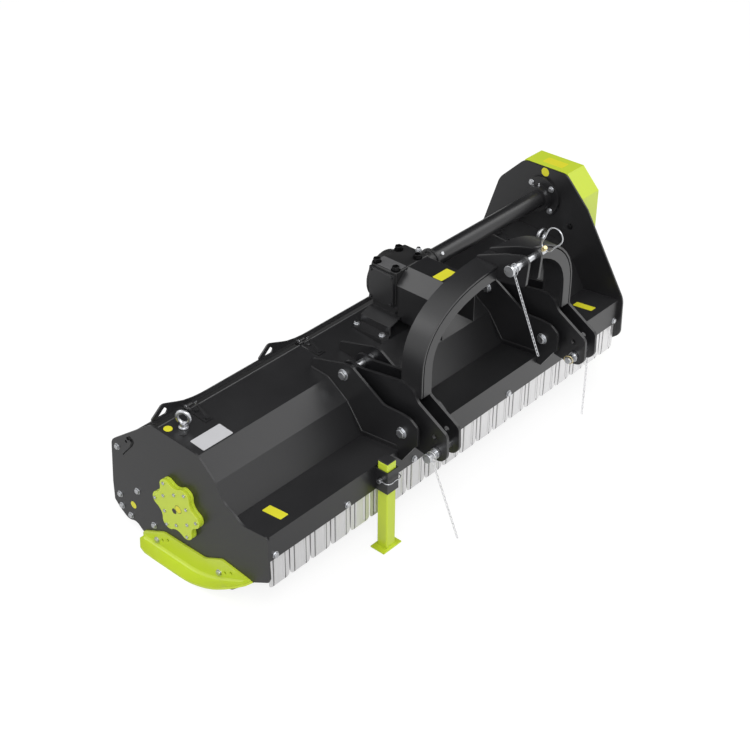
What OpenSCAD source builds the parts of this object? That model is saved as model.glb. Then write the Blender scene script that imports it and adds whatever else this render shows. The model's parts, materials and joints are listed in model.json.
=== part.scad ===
// Flail mower for a three-point hitch, driven by a shaft, a gearbox and belts.
// X runs across the machine, +Y to the rear, +Z up. The lip's front face is at
// y = 0, the machine's middle at x = 0, and the skids stand on z = 0.

/* [Housing] */
// Width over the two side plates
body_w = 2050; // [1650:10:2450]
// Thickness of the side plates
plate_t = 8; // [6:1:12]
// Thickness of the bent roof sheet
sheet_t = 5; // [3:1:6]
// Height of the front lip above the ground, at its top edge
lip_top = 367; // [355:1:375]
// Depth of the front lip
lip_h = 107; // [95:1:115]

/* [Rotor] */
// Radius of the circle that the flail tips run on
tip_r = 225; // [205:1:228]
// Radius of the circle that the flail pins run on
flail_pin_circle = 120; // [116:1:124]
// Outer radius of the rotor tube
rotor_r = 70; // [55:1:72]
// Number of flails in each of the four rows
flails_per_row = 7; // [4:1:7]
// Width of one flail's cutting edge
flail_w = 64; // [40:1:66]

/* [Front flaps] */
// Number of flaps in the front row
flap_count = 20; // [12:4:20]
// Width of one flap
flap_w = 96; // [50:1:98]
// Length of a flap below its rod
flap_len = 146; // [100:1:160]

/* [Rear roller] */
// Radius of the roller
roller_r = 65; // [45:1:68]

/* [Hitch] */
// Distance between the two lower hitch points
hitch_pitch = 825; // [700:5:870]
// Sideways offset of the hitch from the machine's middle
hitch_x = 121; // [100:1:130]
// Gap between the two plates of a lower clevis
clevis_gap = 54; // [48:1:58]
// Radius of a lower hitch pin
lower_pin_r = 14; // [11:0.5:15]
// Radius of the top link pin
top_pin_r = 12.5; // [9.5:0.5:13]
// Gap between the ears of the top link
ear_gap = 60; // [52:1:64]
// Height of the top of the arch
arch_top = 956; // [900:2:990]

/* [Drive] */
// Radius of the tube round the cross shaft
tube_r = 36.5; // [34:0.5:44]
// Radius of the driving pulley
drive_pulley_r = 95; // [80:1:110]
// Radius of the pulley on the rotor
rotor_pulley_r = 80; // [60:1:90]
// Number of V-belts
belt_count = 4; // [2:1:4]
// Width of the belt cover
cover_w = 113; // [108:1:130]

/* [Skids and stand] */
// Width of a skid's sole beyond the side plate
sole_w = 65; // [40:1:80]
// Side of the parking stand's square tube
jack_s = 48; // [40:1:52]
// Distance that the stand can be raised
jack_travel = 250; // [200:5:255]

/* [Hidden] */
$fn = 48;

steel = "dimgray";
black = "#2b2c2e";
lime = "#c3d82c";
zinc = "silver";

// Clearances: a running fit, a bolt in its hole and parts that pass each other
run_c = 0.05;
bolt_c = 0.3;
gap_c = 0.4;

half_w = body_w / 2;
inner_w = half_w - plate_t;

// Lines of the roof, as y and z pairs from the shelf up to the rear edge
shelf_back = [173.6, lip_top - 19.4];
fold_low = [246, 465];
fold_high = [339, 528];
roof_rear = [546, 544];
roof_foot = [173, 341];
shelf_t = 6;

// Axes of the turning parts, as y and z pairs
rotor_yz = [436, 262];
drive_yz = [423, 700];
roller_yz = [734, 111];
hood_yz = [562, 545];
hood_line = [[554, 555.5], [574, 555.5], [592, 540], [782, 368], [798, 190]];
flap_yz = [21, lip_top - 91];
top_pin_yz = [-164, 1007];
lower_pin_yz = [-145, 410];

// A bent sheet as a closed outline: the outer line p and its offset by t to the right of its way
function unit(v) = v / norm(v);
function side(a, b) = let(d = unit(b - a)) [d[1], -d[0]];
function corner(p, i, t) =
    i == 0 ? p[0] + t * side(p[0], p[1]) :
    i == len(p) - 1 ? p[i] + t * side(p[i - 1], p[i]) :
    let(n1 = side(p[i - 1], p[i]), n2 = side(p[i], p[i + 1])) p[i] + t * (n1 + n2) / (1 + n1 * n2);
function sheet(p, t) = concat(p, [for (i = [len(p) - 1:-1:0]) corner(p, i, t)]);
// A closed outline drawn the other way round the clock, moved inwards by t
function wrap(p, i) = p[(i + len(p)) % len(p)];
function inset(p, t) = [for (i = [0:len(p) - 1])
    let(n1 = side(wrap(p, i - 1), p[i]), n2 = side(p[i], wrap(p, i + 1)))
    p[i] - t * (n1 + n2) / (1 + n1 * n2)];
function arc_pts(c, r, a0, a1, n) = [for (i = [0:n]) c + r * [cos(a0 + (a1 - a0) * i / n),
    sin(a0 + (a1 - a0) * i / n)]];
function flip(p) = [for (v = p) [-v[0], v[1]]];

// A yz outline pulled along x, and an xz outline pulled along y
module slab_x(x0, t) translate([x0, 0, 0]) rotate([90, 0, 90]) linear_extrude(t) children();
module slab_y(y0, t) translate([0, y0 + t, 0]) rotate([90, 0, 0]) linear_extrude(t) children();
module rod_x(x0, x1, yz, r) translate([x0, yz[0], yz[1]]) rotate([0, 90, 0]) cylinder(r = r, h = x1 - x0);
module both() {
    children();
    mirror([1, 0, 0]) children();
}

// A hexagon bolt: head under z = 0, shank up through the grip, nut beyond it
module bolt(d, grip, tail = 4) {
    head_h = d * 0.62;
    translate([0, 0, -head_h]) cylinder(r = d * 0.92, h = head_h, $fn = 6);
    cylinder(r = d / 2, h = grip + d * 0.8 + tail);
    translate([0, 0, grip]) difference() {
        cylinder(r = d * 0.92, h = d * 0.8, $fn = 6);
        translate([0, 0, -1]) cylinder(r = d / 2 + 0.05, h = d + 2);
    }
}
module bolt_x(x, yz, d, grip, way = 1) translate([x, yz[0], yz[1]]) rotate([0, 90 * way, 0]) bolt(d, grip);

/* Side plates */
plate_low = [[815, 92], [790, 65], [745, 33], [698, 49], [658, 14], [200, 14], [77, 126]];
left_top = [[0, lip_top], [0, lip_top - lip_h], [-2, 185], [6, 167]];
left_shelf = [[125, lip_top - 14], [155, 379], [207, 401], [241, 468], [328, 545], [566, 553]];
right_front = [[312, 834], [196, 714], [-17, 373], [-23, 206], [15, 174]];
right_back = [[814, 178], [796, 376], [722, 483], [649, 709], [528, 830]];
left_outline = concat(left_shelf, [[796, 376], [814, 178]], plate_low, [for (i = [3:-1:0]) left_top[i]]);
right_outline = concat(right_back, right_front, [for (i = [len(plate_low) - 1:-1:0]) plate_low[i]]);

// Bolts in the side plates: hood stop, roller arm pivot, three at the roller's bracket, one at the skid
stop_yz = [765, 359];
pivot_yz = [674, 203];
skid_tie_yz = [596, 87];
bracket_bolt_r = 50;
bracket_bolts = [for (a = [27, -36, -99]) roller_yz + bracket_bolt_r * [cos(a), sin(a)]];
plate_bolt_d = 12;
bracket_t = 10;
shaft_r = 25;
skid_t = 8;
skid_holes = [for (c = [[578, 32], [247, 74]], k = [0:2]) c + k * [-31, 17]];
skid_bolt_yz = [skid_holes[0], skid_holes[3]];
bearing_r = 82;
bearing_bolt_circle = 68;
bearing_holes = [for (a = [30:60:330]) rotor_yz + bearing_bolt_circle * [cos(a), sin(a)]];
bearing_bolt_d = 10;
tube_flange_r = 88;
tube_bolt_half = 50;
tube_holes = [for (i = [-1, 1], j = [-1, 1]) drive_yz + tube_bolt_half * [i, j]];

module holes_x(x0, t, list, r) for (c = list) rod_x(x0 - 1, x0 + t + 1, c, r);

module plate_cuts(x0) {
    holes_x(x0, plate_t, concat(bracket_bolts, [stop_yz, pivot_yz, skid_tie_yz]), plate_bolt_d / 2 + bolt_c);
    holes_x(x0, plate_t, skid_bolt_yz, plate_bolt_d / 2 + bolt_c);
    holes_x(x0, plate_t, bearing_holes, bearing_bolt_d / 2 + bolt_c);
    rod_x(x0 - 1, x0 + plate_t + 1, rotor_yz, shaft_r + 8);
}

module side_plate_left() color(black) difference() {
    slab_x(-half_w, plate_t) polygon(left_outline);
    plate_cuts(-half_w);
    rod_x(-half_w - 1, -inner_w + 1, [711, 408], 6);
}

module side_plate_right() color(black) difference() {
    slab_x(inner_w, plate_t) polygon(right_outline);
    plate_cuts(inner_w);
    holes_x(inner_w, plate_t, concat(tube_holes, [idler_pivot]), plate_bolt_d / 2 + bolt_c);
    rod_x(inner_w - 1, half_w + 1, drive_yz, 33);
}

/* Roof and front */
roof_line = [roof_foot, fold_low, fold_high, roof_rear];
module roof_sheet() color(black) difference() {
    slab_x(-inner_w, 2 * inner_w) polygon(sheet(roof_line, sheet_t));
    for (c = eye_xy) on_roof(c[1]) translate([c[0], 0, -20]) cylinder(r = eye_d / 2 + bolt_c, h = 40);
    for (x = stand_bolt_x, y = stand_bolt_y) translate([x, y, 500])
        cylinder(r = plate_bolt_d / 2 + bolt_c, h = 80);
}

shelf_line = [[0, lip_top - lip_h], [0, lip_top], shelf_back];
module front_shelf() color(black) difference() {
    slab_x(-inner_w, 2 * inner_w) polygon(sheet(shelf_line, shelf_t));
    for (x = lip_bolt_x) translate([x, -1, flap_yz[1]]) rotate([-90, 0, 0])
        cylinder(r = lip_bolt_d / 2 + bolt_c, h = 20);
}

/* Rear edge of the roof: hinge leaves and hook plates */
hinge_x = [for (k = [-857, -292, 420, 857]) k * body_w / 2050];
leaf_w = 36;
leaf_t = 6;
leaf_y = 448;
knuckle_r = 9;
hinge_pin_r = 5;
lift_c = 0.05;
roof_slope = atan2(roof_rear[1] - fold_high[1], roof_rear[0] - fold_high[0]);
function roof_z(y) = roof_rear[1] + (y - roof_rear[0]) * tan(roof_slope);
module on_roof(y) translate([0, y, roof_z(y)]) rotate([roof_slope, 0, 0]) children();

// Hook plates stand on the top strip of the hood, each with a window for a hook
hook_t = 7;
hook_y = 566;
hook_foot = hood_line[0][1];
hook_second_x = -498;
hook_outline = [[0, 0], [0, 11], [42, 50], [62, 48], [110, 20], [132, 9], [132, 0]];
hook_eye = [[22, 8], [50, 32], [64, 26], [56, 12], [36, 4]];
module hook_plate() slab_y(hook_y, hook_t) translate([0, hook_foot]) difference() {
    polygon(hook_outline);
    polygon(hook_eye);
}
module rear_hooks() color(black) {
    both() translate([-hood_half, 0, 0]) hook_plate();
    translate([hook_second_x * body_w / 2050, 0, 0]) hook_plate();
}

module hinge_leaves() color(black) for (x = hinge_x) {
    difference() {
        union() {
            on_roof(leaf_y) translate([x - leaf_w / 2, 0, lift_c])
                cube([leaf_w, roof_rear[0] - 8 - leaf_y, leaf_t]);
            translate([x - leaf_w / 2, roof_rear[0] - 12, roof_rear[1] + 0.4])
                cube([leaf_w / 2 - 0.3, 22, leaf_t]);
            rod_x(x - leaf_w / 2, x - 0.3, hood_yz, knuckle_r);
        }
        rod_x(x - leaf_w, x + leaf_w, hood_yz, hinge_pin_r + run_c);
    }
    rod_x(x - leaf_w / 2 - 3, x + leaf_w / 2 + 3, hood_yz, hinge_pin_r);
    for (y = [leaf_y + 12, leaf_y + 70]) on_roof(y) translate([x, 0, leaf_t + lift_c])
        cylinder(r = 10, h = 7, $fn = 6);
}

/* Hitch: ribs, clevis plates, arch, ears and their bolts */
rib_t = 10;
rib_x = 70;
clevis_t = 12;
rib_bolt_yz = [[263, 572], [-17, 453]];
rib_bolt_d = 20;
spacer_r = 16;
rib_outline = [[0, 331], [-20, 331], [-76, 415], [-90, 430], [-90, 501], [-52, 529], [-8, 532], [69, 529],
    [227, 623], [262, 619], [425, 571], [425, 534.7], fold_high, fold_low, [roof_foot[0] + 4, 348],
    shelf_back, [0, lip_top]];
module at_clevis() for (s = [-1, 1]) translate([hitch_x + s * hitch_pitch / 2, 0, 0]) children();

module hitch_ribs() color(black) at_clevis() both() difference() {
    slab_x(rib_x, rib_t) polygon(rib_outline);
    for (c = rib_bolt_yz) rod_x(rib_x - 1, rib_x + rib_t + 1, c, rib_bolt_d / 2 + bolt_c);
}

clevis_outline = [[-96, 371], [-165, 375], [-192, 403], [-188, 497], [-48, 579], [-36, 612], [0, 630],
    [36, 630], [212, 600], [275, 606], [303, 590], [303, 556], [262, 535], [180, 500], [60, 430], [-10, 385]];
spare_hole_yz = [lower_pin_yz[0] + 11, lower_pin_yz[1] + 60];
module clevis_plates() color(black) at_clevis() both() difference() {
    slab_x(clevis_gap / 2, clevis_t) polygon(clevis_outline);
    for (c = rib_bolt_yz) rod_x(0, 80, c, rib_bolt_d / 2 + bolt_c);
    rod_x(0, 80, lower_pin_yz, lower_pin_r + run_c);
    rod_x(0, 80, spare_hole_yz, 11);
}

module spacer(x0, x1, c) difference() {
    rod_x(x0, x1, c, spacer_r);
    rod_x(x0 - 1, x1 + 1, c, rib_bolt_d / 2 + bolt_c);
}
module hitch_bolts() color(zinc) at_clevis() for (c = rib_bolt_yz) {
    bolt_x(-rib_x - rib_t, c, rib_bolt_d, 2 * (rib_x + rib_t));
    spacer(-rib_x, -clevis_gap / 2 - clevis_t, c);
    spacer(clevis_gap / 2 + clevis_t, rib_x, c);
    spacer(-clevis_gap / 2, clevis_gap / 2, c);
}

// The arch follows a rounded curve whose legs stand in the clevis gaps
arch_y = -59;
arch_d = 95;
arch_a = hitch_pitch / 2 + clevis_gap / 2;
arch_base = 675;
arch_b = arch_top - arch_base;
arch_foot = 588;
arch_power = 2.35;
arch_skin_t = 8;
function lobe(a, b, t) = [sign(cos(t)) * a * pow(abs(cos(t)), 2 / arch_power),
    arch_base + b * pow(abs(sin(t)), 2 / arch_power)];
function arch_line(inset) = concat([[arch_a - inset, arch_foot]],
    [for (t = [0:7.5:180]) lobe(arch_a - inset, arch_b - inset, t)], [[-arch_a + inset, arch_foot]]);
module arch_ring(i0, i1, y0, t) translate([hitch_x, 0, 0]) slab_y(y0, t)
    polygon(concat(arch_line(i0), [for (p = arch_line(i1)) [-p[0], p[1]]]));
module arch_solid() translate([hitch_x, 0, 0]) slab_y(arch_y, arch_d) polygon(arch_line(0));

module arch_skin() color(black) {
    arch_ring(0, arch_skin_t, arch_y, arch_d);
    arch_ring(clevis_gap - arch_skin_t, clevis_gap, arch_y + 9, arch_d - 18);
}
module arch_webs() color(steel) {
    arch_ring(arch_skin_t + 4, clevis_gap, arch_y, 8.9);
    arch_ring(arch_skin_t + 4, clevis_gap, arch_y + arch_d - 8.9, 8.9);
}

ear_t = 12;
ear_r = 28;
ear_back = 34;
ear_outline = concat([[-40, arch_top + 2], [-40, arch_top - 56], [arch_y, arch_top - 61]],
    [top_pin_yz + [-20, -90], top_pin_yz + [-27, -7]], arc_pts(top_pin_yz, ear_r, 170, 60, 8),
    [top_pin_yz + [80, 5], [ear_back, arch_top + 6], [ear_back, arch_top - 16]]);
module top_link_ears() color(black) difference() {
    translate([hitch_x, 0, 0]) both() slab_x(ear_gap / 2, ear_t) polygon(ear_outline);
    arch_solid();
    rod_x(hitch_x - 60, hitch_x + 60, top_pin_yz, top_pin_r + run_c);
}

/* Gearbox, its stand and the input guard */
case_x = 98;
case_y = [364, 492];
case_z = [628, 779];
case_wall = 11;
// Round flange that closes the case at the back
drum_r = 99;
drum_t = 20;
drum_drop = 18;
case_size = [case_y[1] - case_y[0], case_z[1] - case_z[0]];
neck_r = 44;
neck_l = 34;
output_l = 81;
pto_r = 17.4;
pto_seat_r = 21;
cross_r = 16;
module rod_y(y0, y1, x, z, r) translate([x, y0, z]) rotate([-90, 0, 0]) cylinder(r = r, h = y1 - y0);

module gearbox_case() color(steel) difference() {
    union() {
        translate([hitch_x - case_x, case_y[0], case_z[0]])
            cube([2 * case_x, case_size[0], case_size[1]]);
        rod_y(case_y[0] - neck_l, case_y[0], hitch_x, drive_yz[1], neck_r);
        rod_x(hitch_x + case_x, hitch_x + case_x + output_l, drive_yz, 40);
        rod_x(hitch_x + case_x + output_l - 10, hitch_x + case_x + output_l, drive_yz, 48);
        rod_y(case_y[1], case_y[1] + drum_t, hitch_x, drive_yz[1] - drum_drop, drum_r);
    }
    translate([hitch_x - case_x - 1, case_y[0] + case_wall, case_z[0] + case_wall])
        cube([2 * case_x - case_wall, case_size[0] - 2 * case_wall, case_size[1] - 2 * case_wall]);
    rod_y(case_y[0] - neck_l - 1, case_y[0] + 20, hitch_x, drive_yz[1], 30);
    rod_x(hitch_x + case_x - 20, hitch_x + case_x + output_l + 1, drive_yz, 28);
    for (x = case_bolt_x, y = case_bolt_y) translate([x, y, case_z[1] - case_bolt_r - bolt_c])
        cylinder(r = case_bolt_r + bolt_c, h = 12);
}

cover_t = 10;
cover_z = [case_z[0] + 4, case_z[1] - 8];
module gearbox_cover() color(steel) {
    x0 = hitch_x - case_x - cover_t;
    translate([x0, case_y[0] + 4, cover_z[0]]) cube([cover_t, case_size[0] - 8, cover_z[1] - cover_z[0]]);
    for (y = [case_y[0] + 14, case_y[1] - 14], z = [cover_z[0] + 10, cover_z[1] - 10])
        rod_x(x0 - 4, x0, [y, z], 5);
}

stand_bolt_x = [hitch_x - 178, hitch_x + 178];
stand_bolt_y = [358, 486];
stand_y = [340, 486];
stand_t = 7;
stand_z = 541;
stand_h = 48;
stand_half = 204;
foot_w = 44;
stand_side = [[-stand_half, 0], [-150, 0], [-150, stand_h - 14], [-107, stand_h]];
stand_line = concat(stand_side, [for (i = [3:-1:0]) [-stand_side[i][0], stand_side[i][1]]]);
stand_pts = [for (p = stand_line) [hitch_x + p[0], stand_z + p[1]]];
pad_z = stand_z + stand_h + stand_t;
module gearbox_stand() color(steel) difference() {
    union() {
        slab_y(stand_y[0], stand_y[1] - stand_y[0]) polygon(sheet(stand_pts, -stand_t));
        translate([hitch_x - case_x + 8, case_y[0] + 8, pad_z])
            cube([2 * case_x - 16, stand_y[1] - case_y[0] - 10, case_z[0] - pad_z]);
        for (x = [hitch_x - stand_half, hitch_x + stand_half - foot_w]) translate([x, stand_y[0], 500])
            cube([foot_w, stand_y[1] - stand_y[0], stand_z - 499]);
    }
    for (x = stand_bolt_x, y = stand_bolt_y) translate([x, y, 500])
        cylinder(r = plate_bolt_d / 2 + bolt_c, h = 80);
    on_roof(300) translate([-300, 0, -100]) cube([800, 300, 100 + lift_c]);
    translate([hitch_x - guard_w - 2, stand_y[0] - 10, guard_foot - 5])
        cube([2 * guard_w + 4, guard_y[1] + gap_c - stand_y[0] + 10, 60]);
}

case_bolt_r = 8;
case_bolt_x = [hitch_x - 79, hitch_x + 45];
case_bolt_y = [case_y[0] + 17, case_y[1] - 17];
module gearbox_bolts() color(black) for (x = case_bolt_x, y = case_bolt_y)
    translate([x, y, case_z[1] - case_bolt_r]) {
        cylinder(r = case_bolt_r, h = case_bolt_r);
        translate([0, 0, case_bolt_r]) cylinder(r = 17, h = 4);
        translate([0, 0, case_bolt_r + 4]) cylinder(r = 15.5, h = 13, $fn = 6);
        translate([0, 0, case_bolt_r + 17]) cylinder(r = case_bolt_r, h = 5);
    }

// Stand bolts: nut under the roof sheet, head on the stand's foot
stand_bolt_nut = 12;
module stand_bolt(x, y) {
    grip = stand_z + stand_t - roof_z(y) + sheet_t + stand_bolt_nut;
    translate([x, y, roof_z(y) - sheet_t - stand_bolt_nut]) {
        cylinder(r = plate_bolt_d / 2, h = grip);
        cylinder(r = 11, h = stand_bolt_nut - 2, $fn = 6);
        translate([0, 0, grip]) cylinder(r = 12, h = 11, $fn = 6);
    }
}
// Breather plug on the case
breather_xy = [hitch_x + 83, case_y[0] + 44];
module breather() translate([breather_xy[0], breather_xy[1], case_z[1]]) {
    cylinder(r = 13, h = 8, $fn = 6);
    translate([0, 0, 8]) cylinder(r = 7, h = 12);
}
guard_w = 94;
guard_top = 786;
guard_shoulder = 727;
guard_y = [136, case_y[0] - 8];
guard_t = 4;
guard_foot = 580;
guard_plate_t = 8;
guard_flat = [-35, 70];
guard_left = [[-guard_w, guard_shoulder], [guard_flat[0], guard_top]];
guard_right = [[guard_flat[1], guard_top], [guard_w, guard_shoulder + 33]];
guard_line = concat([[-guard_w, guard_foot]], guard_left, guard_right, [[guard_w, guard_foot]]);
function guard_side(p, q, z) = p + (q - p) * (z - p[1]) / (q[1] - p[1]);
guard_cut_z = case_z[1] - 4;
guard_back = [[-guard_w, case_z[0] + 4], guard_left[0], guard_side(guard_left[0], guard_left[1], guard_cut_z),
    guard_side(guard_right[1], guard_right[0], guard_cut_z), guard_right[1], [guard_w, case_z[0] + 4]];
module input_guard() color(black) translate([hitch_x, 0, 0]) {
    slab_y(guard_y[0], guard_y[1] - guard_y[0]) polygon(sheet(guard_line, guard_t));
    difference() {
        slab_y(guard_y[1], guard_plate_t) polygon(guard_back);
        rod_y(guard_y[1] - 1, guard_y[1] + guard_plate_t + 1, 0, drive_yz[1], neck_r + gap_c);
    }
}

/* Drive tube and its flange */
tube_x0 = hitch_x + case_x + output_l;
flange_t = 12;
tube_wall = 5.5;
module drive_tube() color(steel) difference() {
    union() {
        rod_x(tube_x0, inner_w, drive_yz, tube_r);
        rod_x(inner_w - flange_t, inner_w, drive_yz, tube_flange_r);
        rod_x(inner_w - 44, inner_w, drive_yz, tube_r + 18);
    }
    rod_x(tube_x0 - 1, inner_w + 1, drive_yz, tube_r - tube_wall);
    holes_x(inner_w - flange_t, flange_t, tube_holes, plate_bolt_d / 2 + bolt_c);
}
module tube_bolts() color(zinc) {
    bolt_x(inner_w, idler_pivot, plate_bolt_d, idler_arm_x + idler_arm_t - inner_w + gap_c);
    for (c = tube_holes) bolt_x(inner_w - flange_t, c, plate_bolt_d, flange_t + plate_t);
    translate([inner_w - 30, drive_yz[0], drive_yz[1] + tube_r + 18 + lift_c]) cylinder(r = 4, h = 9);
    translate([tube_x0 + 30, drive_yz[0], drive_yz[1]]) rotate([50, 0, 0]) translate([0, 0, tube_r])
        cylinder(r = 8, h = 6);
    for (x = stand_bolt_x, y = stand_bolt_y) stand_bolt(x, y);
    breather();
}

/* Belt cover, pulleys and belts */
cover_outline = [[312, 834], [228, 748], [227, 560], [250, 400], [322, 212], [362, 166], [436, 144],
    [512, 166], [552, 220], [562, 400], [575, 700], [528, 830]];
cover_wall = 4;
cover_screws = [[300, 780], [500, 800], [250, 600], [555, 620], [300, 300], [536, 260]];
module belt_cover() color(lime) {
    slab_x(half_w, cover_w) difference() {
        polygon(cover_outline);
        polygon(inset(cover_outline, cover_wall));
    }
    slab_x(half_w + cover_w - cover_wall, cover_wall) polygon(inset(cover_outline, cover_wall / 2));
    for (c = cover_screws) rod_x(half_w + cover_w, half_w + cover_w + 4, c, 8);
}

belt_pitch = 14;
belt_h = 8;
pulley_w = belt_count * belt_pitch + 6;
pulley_x = half_w + 24;
groove_w = 10;
function groove_x(i) = 3 + i * belt_pitch + (belt_pitch - groove_w) / 2;
module pulley(yz, r, bore) translate([pulley_x, yz[0], yz[1]]) rotate([0, 90, 0]) difference() {
    cylinder(r = r, h = pulley_w, $fn = 96);
    for (i = [0:belt_count - 1]) translate([0, 0, groove_x(i)]) difference() {
        cylinder(r = r + 1, h = groove_w, $fn = 96);
        translate([0, 0, -1]) cylinder(r = r - belt_h, h = groove_w + 2, $fn = 96);
    }
    translate([0, 0, -1]) cylinder(r = bore, h = pulley_w + 2);
    for (a = [45:90:315]) rotate(a) translate([(r + bore) / 2, 0, -1])
        cylinder(r = (r - bore) / 4, h = pulley_w + 2);
}
module drive_pulley() color(steel) pulley(drive_yz, drive_pulley_r, cross_r + 0.02);
module rotor_pulley() color(steel) pulley(rotor_yz, rotor_pulley_r, shaft_r - 3 + 0.02);

// A belt loop: arcs round both pulleys and the straight runs that touch them
function loop_pts(c1, r1, c2, r2) = let(d = c2 - c1, a = atan2(d[1], d[0]), k = acos((r1 - r2) / norm(d)))
    concat(arc_pts(c1, r1, a + k, a + 360 - k, 40), arc_pts(c2, r2, a - k, a + k, 40));
belt_in = belt_h - gap_c;
module drive_belts() color("#1c1c1c") for (i = [0:belt_count - 1])
    slab_x(pulley_x + groove_x(i) + gap_c, groove_w - 2 * gap_c) difference() {
        polygon(loop_pts(drive_yz, drive_pulley_r + 2, rotor_yz, rotor_pulley_r + 2));
        polygon(loop_pts(drive_yz, drive_pulley_r - belt_in, rotor_yz, rotor_pulley_r - belt_in));
    }

// The idler presses on the slack run of the belts and hangs on an arm
idler_pivot = [272, 610];
idler_yz = [300, 490];
idler_r = 35;
idler_pin_r = 8;
idler_arm_x = half_w + 10;
idler_arm_t = 8;
module idler_arm() color(steel) {
    difference() {
        union() {
            slab_x(idler_arm_x, idler_arm_t) polygon([[258, 612], [286, 612], [312, 490], [288, 490]]);
            rod_x(idler_arm_x, idler_arm_x + idler_arm_t, idler_yz, 13);
            rod_x(half_w + 0.5, idler_arm_x + idler_arm_t, idler_pivot, 16);
            rod_x(idler_arm_x, pulley_x + pulley_w + 6, idler_yz, idler_pin_r);
        }
        rod_x(half_w, pulley_x, idler_pivot, plate_bolt_d / 2 + run_c);
    }
}
module idler_pulley() color(steel) difference() {
    rod_x(pulley_x + 2, pulley_x + pulley_w - 2, idler_yz, idler_r);
    rod_x(pulley_x - 1, pulley_x + pulley_w + 1, idler_yz, idler_pin_r + run_c);
}

/* Shafts and bearings of the drive */
gear_ratio = 3;
wheel_r = 47;
pinion_r = wheel_r / gear_ratio;
gear_face = 0.36;
gear_c = 0.15;
gear_back = 9;
module cross_shaft() color(zinc) {
    rod_x(hitch_x + wheel_r, pulley_x + pulley_w + 4, drive_yz, cross_r - 1.5);
    rod_x(hitch_x + case_x + 1, hitch_x + case_x + output_l - 1, drive_yz, cross_r);
    rod_x(inner_w - 60, pulley_x + pulley_w, drive_yz, cross_r);
    translate([hitch_x + wheel_r * (1 - gear_face), drive_yz[0], drive_yz[1]]) rotate([0, 90, 0])
        cylinder(r1 = pinion_r * (1 - gear_face) - gear_c, r2 = pinion_r - gear_c, h = wheel_r * gear_face);
}

wheel_y = drive_yz[0] - pinion_r;
shaft_end_y = [238, 312];
module spline_cut(a) translate([hitch_x, shaft_end_y[0] - 1, drive_yz[1]]) rotate([0, a, 0])
    translate([-2, 0, pto_r - 3]) cube([4, shaft_end_y[1] - shaft_end_y[0] + 1, 6]);
module input_shaft() color(zinc) {
    difference() {
        rod_y(shaft_end_y[0], shaft_end_y[1], hitch_x, drive_yz[1], pto_r);
        for (a = [0:60:300]) spline_cut(a);
    }
    rod_y(shaft_end_y[1], wheel_y - gear_back, hitch_x, drive_yz[1], pto_seat_r);
    rod_y(wheel_y - gear_back, wheel_y, hitch_x, drive_yz[1], wheel_r - gear_c);
    translate([hitch_x, wheel_y, drive_yz[1]]) rotate([-90, 0, 0])
        cylinder(r1 = wheel_r - gear_c, r2 = wheel_r * (1 - gear_face) - gear_c, h = pinion_r * gear_face);
}

module ring_x(x0, x1, yz, ro, ri) difference() {
    rod_x(x0, x1, yz, ro);
    rod_x(x0 - 1, x1 + 1, yz, ri);
}
module drive_bearings() color(zinc) {
    ring_x(hitch_x + case_x + 50, hitch_x + case_x + 72, drive_yz, 28 - run_c, cross_r + run_c);
    ring_x(inner_w - 44, inner_w - 20, drive_yz, tube_r - tube_wall - run_c, cross_r + run_c);
    difference() {
        rod_y(case_y[0] - neck_l + 4, case_y[0] - 6, hitch_x, drive_yz[1], 30 - run_c);
        rod_y(case_y[0] - neck_l, case_y[0], hitch_x, drive_yz[1], pto_seat_r + run_c);
    }
}

/* Rotor, its bearings, lugs, pins and flails */
bearing_t = 22;
module rotor_bearings() color(steel) both() difference() {
    rod_x(inner_w - bearing_t, inner_w, rotor_yz, bearing_r);
    rod_x(inner_w - bearing_t - 1, inner_w + 1, rotor_yz, shaft_r + run_c);
    holes_x(inner_w - bearing_t, bearing_t, bearing_holes, bearing_bolt_d / 2 + bolt_c);
}

star_t = 25;
star_mean = 107;
star_wave = 14;
module bearing_cover() color(lime) {
    difference() {
        slab_x(-half_w - star_t, star_t)
            polygon([for (a = [0:5:355]) rotor_yz + (star_mean + star_wave * cos(6 * a)) * [cos(a), sin(a)]]);
        rod_x(-half_w - star_t + 6, -half_w + 1, rotor_yz, shaft_r + 12);
        for (c = bearing_holes) rod_x(-half_w - star_t + 6, -half_w + 1, c, 14);
    }
    for (a = [0:60:300]) rod_x(-half_w - star_t - 4, -half_w - star_t, rotor_yz + 106 * [cos(a), sin(a)], 5);
    for (c = bearing_holes) rod_x(-half_w - star_t - 3, -half_w - star_t, c, 5);
}

rotor_half = inner_w - bearing_t - 20;
lug_t = 8;
lug_stem = 32;
lug_sink = 4;
lug_chamfer = 6;
lug_end = 16;
flail_pin_r = 8;
flail_neck = 22;
row_angle = [45, 135, 225, 315];
flail_pitch = (2 * rotor_half - 2 * flail_w) / (flails_per_row * 4 - 1);
function flail_x(row, i) = -rotor_half + flail_w + flail_pitch * (4 * i + row);
function pin_yz(row) = rotor_yz + flail_pin_circle * [cos(row_angle[row]), sin(row_angle[row])];

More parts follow.
